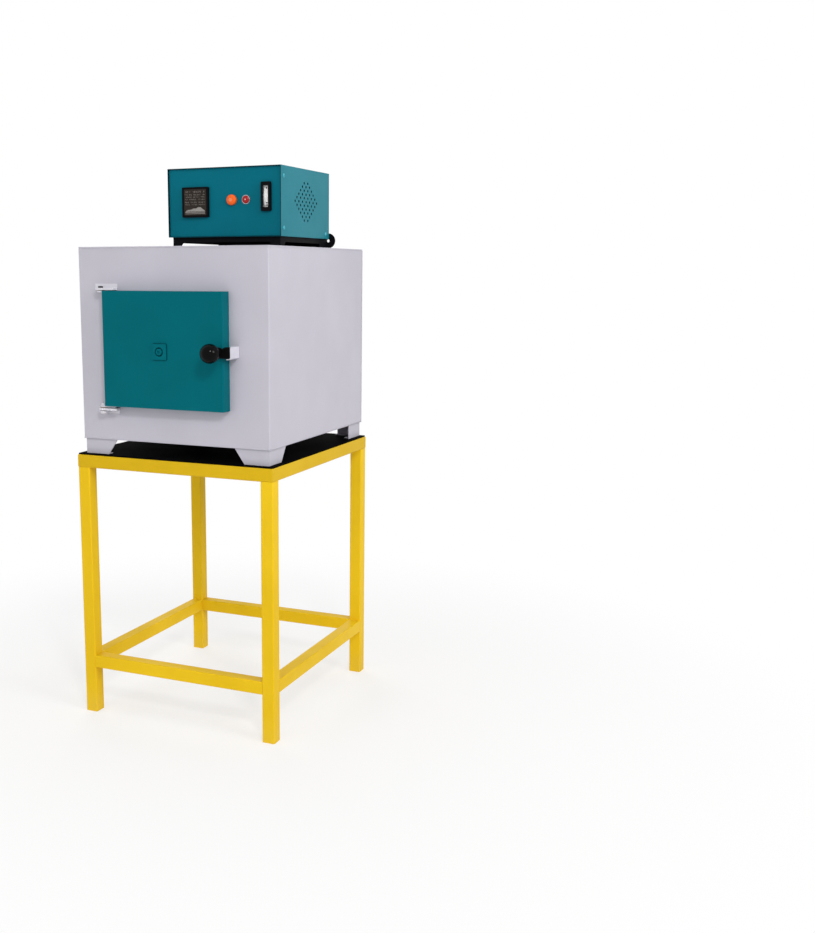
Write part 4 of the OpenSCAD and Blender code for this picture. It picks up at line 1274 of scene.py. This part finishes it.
@dataclass
class Door:
    """Door with its plug, hinge tabs and ball-knob latch."""

    pan: Box = Box.of("door_pan")
    plate: Box = Box.of("door_centre_plate")
    spindle: Box = Box.of("latch_spindle")
    tongue: Box = Box.of("latch_tongue")
    tab_half: float = 8.0
    tab_thick: float = 4.0
    tab_foot: float = 12.5
    bead: float = 0.85
    bead_short: float = 1.0
    ripples: int = 7
    ripple: float = 0.15
    plate_gap: float = 0.5
    plate_corner: float = 2.4
    plate_bead: float = 0.75
    bolt: float = 9.5
    bolt_out: float = 1.6
    bolt_bead: float = 1.25
    hub: float = 7.2
    hub_arc: tuple[float, float] = (5.0, 232.0)
    shoulder: float = 15.5
    shoulder_x: float = 24.0
    neck: float = 1.5
    tongue_edge: float = 0.5

    def tab_beads(self) -> None:
        """Short weld beads between the tabs and the door: round tubes whose ends taper to a point.

        With a from -1 to 1 along the bead, the radius is bead times the root of one minus 0.96 times the
        eighth power of a, times one plus ripple times a sine that has its ripples on each half.
        """
        along = np.linspace(-1, 1, 33)
        taper = np.sqrt(1.0 - 0.96 * along ** 8)
        wave = 1.0 + self.ripple * np.sin(2 * np.pi * self.ripples * along)
        ring = round_ring(self.bead * taper * wave, sides=8)
        x, y = self.pan.left, self.pan.middle[1]
        upper_run = (self.tab_half - self.bead_short) * DEEP
        lower_run = (self.tab_foot - self.bead_short) * ACROSS
        upper = [((x, y, z), upper_run) for z in (self.pan.high - self.tab_thick, self.pan.high)]
        lower = [((x + self.tab_foot, y + side * self.tab_half, self.pan.low), lower_run)
                 for side in (-1, 1)]
        piece = Piece("tab_beads", PALE_STEEL, "hinge_metal", Body.DOOR, smooth=True)
        for middle, run in upper + lower:
            piece.add_sweep(np.array(middle) + along[:, None] * run, ring, UP)
        piece.finish_up()

    def plate_shade_ring(self) -> None:
        """Painted shade round the centre plate and round its bolt's head: two closed dark round beads for the
        shadow in their gaps.
        """
        half = (self.plate.right - self.plate.left) / 2 + self.plate_gap
        middle_x, _, middle_z = self.plate.middle
        piece = Piece("plate_shade_ring", TEAL_SHADE_LINE, "teal", Body.DOOR, smooth=True)
        for outline, depth, radius in (
                (rounded_loop(half, half, self.plate_corner, count=96), self.pan.front, self.plate_bead),
                (round_ring(self.bolt, sides=60)[0], self.pan.front - self.bolt_out, self.bolt_bead)):
            path = np.column_stack([middle_x + outline[:, 0], np.full(len(outline), depth),
                                    middle_z + outline[:, 1]])
            piece.add_sweep(path, round_ring(radius, sides=10), DEEP, closed=True)
        piece.finish_up()

    def shaped_tongue(self) -> None:
        """Latch tongue: a plate whose outline goes round the hub, down to the arm and up over a shoulder."""
        x, _, z = self.spindle.middle
        half, reach = (self.tongue.high - self.tongue.low) / 2, self.tongue.right - x
        hub = arc_points((0.0, 0.0), self.hub, *self.hub_arc, count=22)
        shoulder = arc_points((self.shoulder_x, half - self.shoulder), self.shoulder, 90, 180, count=15)
        outline = np.vstack([hub, [[self.neck, -half], [reach, -half], [reach, half]], shoulder])
        piece = Piece("shaped_tongue", BLACK_STEEL, "black_steel", Body.LATCH, replaces=("latch_tongue",),
                      edge=self.tongue_edge)
        piece.add(*slab(outline + np.array([x, z]), self.tongue.front, self.tongue.rear))
        piece.finish_up()

    def build(self) -> None:
        """Dress the door, its hinge tabs and its latch, and add its fine pieces."""
        dress(TEAL, "door_pan", "door_centre_plate", "door_centre_bolt")
        dress(FIBRE, "door_fibre")
        dress(BRICK, "door_plug")
        dress(PALE_STEEL, "hinge_tabs")
        dress(BLACK_STEEL, "latch_bush", "latch_tongue")
        dress(STEEL, "latch_spindle")
        dress(KNOB, "latch_knob")
        self.tab_beads()
        # Dark rings of painted shade round the plate and its bolt.
        self.plate_shade_ring()
        self.shaped_tongue()


@dataclass
class ControlBox:
    """Control box on its black tray, with side screws; screw_places are depth and height."""

    left_panel: Box = Box.of("box_side_left")
    right_panel: Box = Box.of("box_side_right")
    screw: Screw = Screw(radius=4.7, height=2.6)
    screw_places: tuple[tuple[float, float], ...] = ((-143.0, 1238.0), (-143.0, 1359.0), (105.0, 1230.0))

    def side_screws(self) -> None:
        """Domed screws of the two side panels, each with its cross recess: pale heads whose teal tint is a
        painted reflection of the panels.
        """
        piece = Piece("side_screws", SCREW_TEAL_REFLECTION, "steel", replaces=("box_screws",))
        for y, z in self.screw_places:
            piece.add(*self.screw.head((self.right_panel.right, y, z), Turn.RIGHT))
            piece.add(*self.screw.head((self.left_panel.left, y, z), Turn.LEFT))
        piece.finish_up()

    def build(self) -> None:
        """Dress the box and its tray, and add the screws."""
        dress(TEAL_BOX, "box_front")
        dress(TEAL_SHELL_SHADED, "box_chassis")
        # Side panels: lighter teal, painted light.
        dress(TEAL_SIDE_LIT_AND_SHADED, "box_side_left", "box_side_right")
        # Screws: pale heads with a painted teal reflection.
        dress(SCREW_TEAL_REFLECTION, "box_screws")
        dress(BLACK_TRAY, "box_base", "base_ears")
        dress(GREY_PLASTIC, "box_internals")
        self.side_screws()


@dataclass(frozen=True)
class DigitRow:
    """One row of digits on the controller: its foot, height and number of places; shift starts its count."""

    low: float
    tall: float
    count: int
    shift: int

    def numbers(self) -> list[int]:
        """Digits that step by seven, with a space at every sixth place.

        Returns:
            The digits.
        """
        return [(i * 7 + self.shift) % 10 if (i + self.shift) % 6 else SPACE for i in range(self.count)]


@dataclass
class Instruments:
    """Controller face and meter scale, with generic digits, marks and a plain ramp graph."""

    controller: Box = Box.of("controller_case")
    meter: Box = Box.of("meter_case")
    scale: Box = Box.of("meter_scale")
    face_in: float = 1.2
    half: float = 31.3
    corner: float = 1.8
    overlay_insets: tuple[float, ...] = (0.0, 0.0, 0.3, 1.1)
    overlay_rises: tuple[float, ...] = (0.0, 0.25, 0.45, 0.5, 0.5)
    print_left: float = -27.5
    print_width: float = 55.0
    digit_share: float = 0.62
    face_print: tuple[float, float] = (0.5, 0.56)
    rows: tuple[DigitRow, ...] = (
        DigitRow(23.0, 3.6, 11, 3), DigitRow(16.6, 2.7, 14, 7), DigitRow(11.0, 2.7, 15, 1),
        DigitRow(5.4, 2.7, 14, 4), DigitRow(-1.6, 2.7, 15, 9), DigitRow(-7.0, 2.2, 16, 2))
    graph_times: tuple[float, ...] = (-27.0, -20.0, -13.0, -5.0, 2.0, 8.0, 15.0, 21.0, 27.0)
    graph_levels: tuple[float, ...] = (1.0, 4.0, 4.0, 7.0, 7.0, 10.0, 10.0, 5.0, 1.5)
    graph_foot: float = -22.0
    graph_bar: float = 0.75
    graph_pitch: float = 1.15
    level_lines: tuple[tuple[float, float], ...] = ((-24.4, -23.4), (-27.6, -26.9))
    radius: float = 75.0
    ticks: int = 26
    tick_range: tuple[float, float] = (-19.0, 14.5)
    tick_left: float = -4.6
    tick_right: float = -2.8
    major_right: float = -1.4
    tick_half: float = 0.16
    spine: float = 0.3
    spine_past: float = 0.2
    digit_left: float = 0.4
    digit: tuple[float, float] = (1.6, 2.4)
    scale_print: tuple[float, float] = (0.02, 0.08)
    dot: float = 2.3
    dot_place: tuple[float, float] = (-0.2, 20.0)
    dot_shares: tuple[float, ...] = (0.0, 0.6, 1.0, 1.0, 0.0)
    dot_rises: tuple[float, ...] = (0.14, 0.13, 0.1, 0.02, 0.02)
    blocks: tuple[tuple[float, ...], ...] = ((-1.6, -16.6, 3.4, -13.4), (-0.4, -20.6, 2.4, -18.8))
    block_rises: tuple[float, float] = (0.09, 0.14)

    def on_face(self, points: np.ndarray) -> np.ndarray:
        """Lay sideways, upward and outward places on the controller's flat face.

        Args:
            points: the places.

        Returns:
            Points in mm.
        """
        x, _, z = self.controller.middle
        return on_wall(points, (x, self.controller.front + self.face_in, z), looks=-1)

    def on_scale(self, points: np.ndarray) -> np.ndarray:
        """Bend sideways, upward and outward places round the meter's arc: the upward place is arc length.

        Args:
            points: the places.

        Returns:
            Points in mm.
        """
        x, _, z = self.meter.middle
        angle = points[..., 1] / self.radius
        reach = self.radius + points[..., 2]
        return np.stack([x + points[..., 0], self.scale.front + self.radius - reach * np.cos(angle),
                         z + reach * np.sin(angle)], axis=-1)

    def overlay(self) -> None:
        """Brown overlay of the controller: a rounded plate whose edge falls away over its last millimetre."""
        outline = rounded_loop(self.half, self.half, self.corner, count=96)
        shares = [(self.half - inset) / self.half for inset in self.overlay_insets]
        places, faces = low_form(outline, shares + [0.0], self.overlay_rises)
        piece = Piece("controller_overlay", BROWN_FACE, "black_plastic")
        piece.add(self.on_face(places), faces)
        piece.finish_up()

    def face_digits(self) -> None:
        """Rows of plain digits on the overlay."""
        piece = Piece("controller_digits", FACE_GREY, "scale")
        for row in self.rows:
            pitch = self.print_width / row.count
            size = (pitch * self.digit_share, row.tall)
            bars = digit_bars(row.numbers(), (self.print_left, row.low), size, pitch)
            places, faces = bar_blocks(bars, *self.face_print)
            piece.add(self.on_face(places), faces)
        piece.finish_up()

    def face_graph(self) -> None:
        """Ramp-and-hold graph: upright bars under a broken line, with two level lines below it."""
        across = np.arange(self.graph_times[0], self.graph_times[-1], self.graph_pitch)
        top = self.graph_foot + np.interp(across, self.graph_times, self.graph_levels)
        foot = np.full_like(across, self.graph_foot)
        bars = np.stack([across, foot, across + self.graph_bar, top], axis=-1)
        left, right = self.print_left, self.print_left + self.print_width
        lines = [[left, low, right, high] for low, high in self.level_lines]
        places, faces = bar_blocks(np.vstack([bars, lines]), *self.face_print)
        piece = Piece("controller_graph", FACE_PALE, "scale")
        piece.add(self.on_face(places), faces)
        piece.finish_up()

    def scale_marks(self) -> None:
        """Ticks on a thin upright spine, with a longer tick and a digit at every fifth."""
        places = np.linspace(*self.tick_range, self.ticks)
        major = np.arange(self.ticks) % 5 == 0
        left, half = self.tick_left, self.tick_half
        right = np.where(major, self.major_right, self.tick_right)
        ticks = np.stack([np.full(self.ticks, left), places - half, right, places + half], axis=-1)
        low, high = self.tick_range[0] - self.spine_past, self.tick_range[1] + self.spine_past
        spine = [[left - self.spine, low, left, high]]
        digits = [digit_bars([i], (self.digit_left, place - self.digit[1] / 2), self.digit, pitch=0.0)
                  for i, place in enumerate(places[major])]
        marks, faces = bar_blocks(np.vstack([ticks, spine, *digits]), *self.scale_print)
        piece = Piece("scale_marks", SCALE_INK, "black_plastic")
        piece.add(self.on_scale(marks), faces)
        piece.finish_up()

    def scale_dot(self) -> None:
        """Flat black dot at the scale's upper end, and two black blocks at its lower end."""
        places, faces = low_form(round_ring(self.dot, sides=28)[0], self.dot_shares, self.dot_rises)
        piece = Piece("scale_dot", BLACK_PLASTIC, "black_plastic")
        piece.add(self.on_scale(places + np.array([*self.dot_place, 0.0])), faces)
        places, faces = bar_blocks(np.array(self.blocks), *self.block_rises)
        piece.add(self.on_scale(places), faces)
        piece.finish_up()

    def build(self) -> None:
        """Dress the instruments and print their faces."""
        dress(BLACK_PLASTIC, "controller_case", "button_switches", "meter_case", "rear_glands")
        dress(ORANGE, "start_button")
        dress(RED, "stop_button")
        dress(CHROME, "stop_bezel")
        dress(SCALE_WHITE, "meter_scale")
        dress(POINTER_INK, "meter_pointer")
        dress(WINDOW, "meter_window")
        self.overlay()
        self.face_digits()
        self.face_graph()
        self.scale_marks()
        self.scale_dot()


# Studio


@dataclass(frozen=True)
class Lamp:
    """Square soft lamp; power in watts, spread in radians."""

    name: str
    place: Point
    target: Point
    size: float
    watts: float
    spread: float
    in_gloss: bool

    def hang(self) -> None:
        """Put the lamp in its place and turn it to its target."""
        data = bpy.data.lights.new(self.name, "AREA")
        data.size = self.size
        data.energy = self.watts
        data.spread = self.spread
        lamp = bpy.data.objects.new(self.name, data)
        lamp.location = self.place
        lamp.visible_glossy = self.in_gloss
        way = Vector(self.target) - Vector(self.place)
        lamp.rotation_euler = way.to_track_quat("-Z", "Y").to_euler()
        bpy.context.scene.collection.objects.link(lamp)


@dataclass
class Studio:
    """Camera, lamps, floor and backdrop; the angles are in radians."""

    camera_place: Point = (1.43254, -2.64736, 1.13252)
    camera_pitch: float = 0.1687
    camera_yaw: float = 0.4204
    focal_px: float = 1139.66
    principal_x: float = 314.47
    frame_px: tuple[int, int] = (815, 933)
    sensor: float = 36.0
    fill: float = 0.6
    floor_half: float = 14.0
    lamps: tuple[Lamp, ...] = (
        Lamp("key", (3.4, -0.9, 2.4), (0.2, -0.1, 1.15), size=1.3, watts=9.0, spread=1.3, in_gloss=True),
        Lamp("shape", (2.3, -3.0, 3.1), (0.0, -0.2, 0.95), size=0.55, watts=30.0, spread=2.4, in_gloss=True),
        Lamp("front", (-1.4, -4.4, 2.0), (0.0, 0.0, 0.8), size=2.6, watts=26.0, spread=3.1, in_gloss=False),
        Lamp("rear", (-2.5, 3.0, 2.8), (0.0, 0.0, 0.8), size=2.4, watts=40.0, spread=3.1, in_gloss=False),
    )

    def camera(self) -> None:
        """Place the camera as fitted to the photograph's corners."""
        data = bpy.data.cameras.new("camera")
        data.sensor_fit = "AUTO"
        data.sensor_width = self.sensor
        wide, tall = self.frame_px
        data.lens = self.focal_px * self.sensor / tall
        data.shift_x = (wide / 2 - self.principal_x) / tall
        data.clip_end = 60.0
        eye = bpy.data.objects.new("camera", data)
        eye.location = self.camera_place
        eye.rotation_euler = (math.pi / 2 - self.camera_pitch, 0.0, self.camera_yaw)
        bpy.context.scene.collection.objects.link(eye)
        bpy.context.scene.camera = eye

    def world(self) -> None:
        """Set the world: soft fill light, which rays that show the backdrop see as plain white."""
        world = bpy.data.worlds.new("studio")
        world.use_nodes = True
        bpy.context.scene.world = world
        graph = Graph(world.node_tree)
        strength = graph.math("MULTIPLY_ADD", graph.backdrop_rays(), 1.0 - self.fill, self.fill)
        back = graph.node("Background", Color=WHITE, Strength=strength)
        graph.node("OutputWorld", Surface=back.outputs[0])

    def floor(self) -> None:
        """Lay a white floor: it keeps the object's shadow near by and fades to the backdrop's white."""
        corners = self.floor_half * np.array([[-1, -1, 0], [1, -1, 0], [1, 1, 0], [-1, 1, 0]])
        mesh = bpy.data.meshes.new("floor")
        mesh.from_pydata(corners.tolist(), [], [(0, 1, 2, 3)])
        mesh.materials.append(FLOOR.material())
        ground = bpy.data.objects.new("floor", mesh)
        bpy.context.scene.collection.objects.link(ground)

    def build(self) -> None:
        """Set up the whole studio."""
        self.camera()
        for lamp in self.lamps:
            lamp.hang()
        self.world()
        self.floor()
        bpy.context.scene.view_settings.view_transform = "Standard"


def main() -> None:
    """Build the studio, then each sub-assembly."""
    logging.basicConfig(level=logging.INFO, format="%(name)s: %(message)s")
    Studio().build()
    for assembly in (Stand(), Casing(), Chamber(), Door(), ControlBox(), Instruments()):
        assembly.build()
        LOG.info("%s done", type(assembly).__name__)


if __name__ == "__main__":
    main()
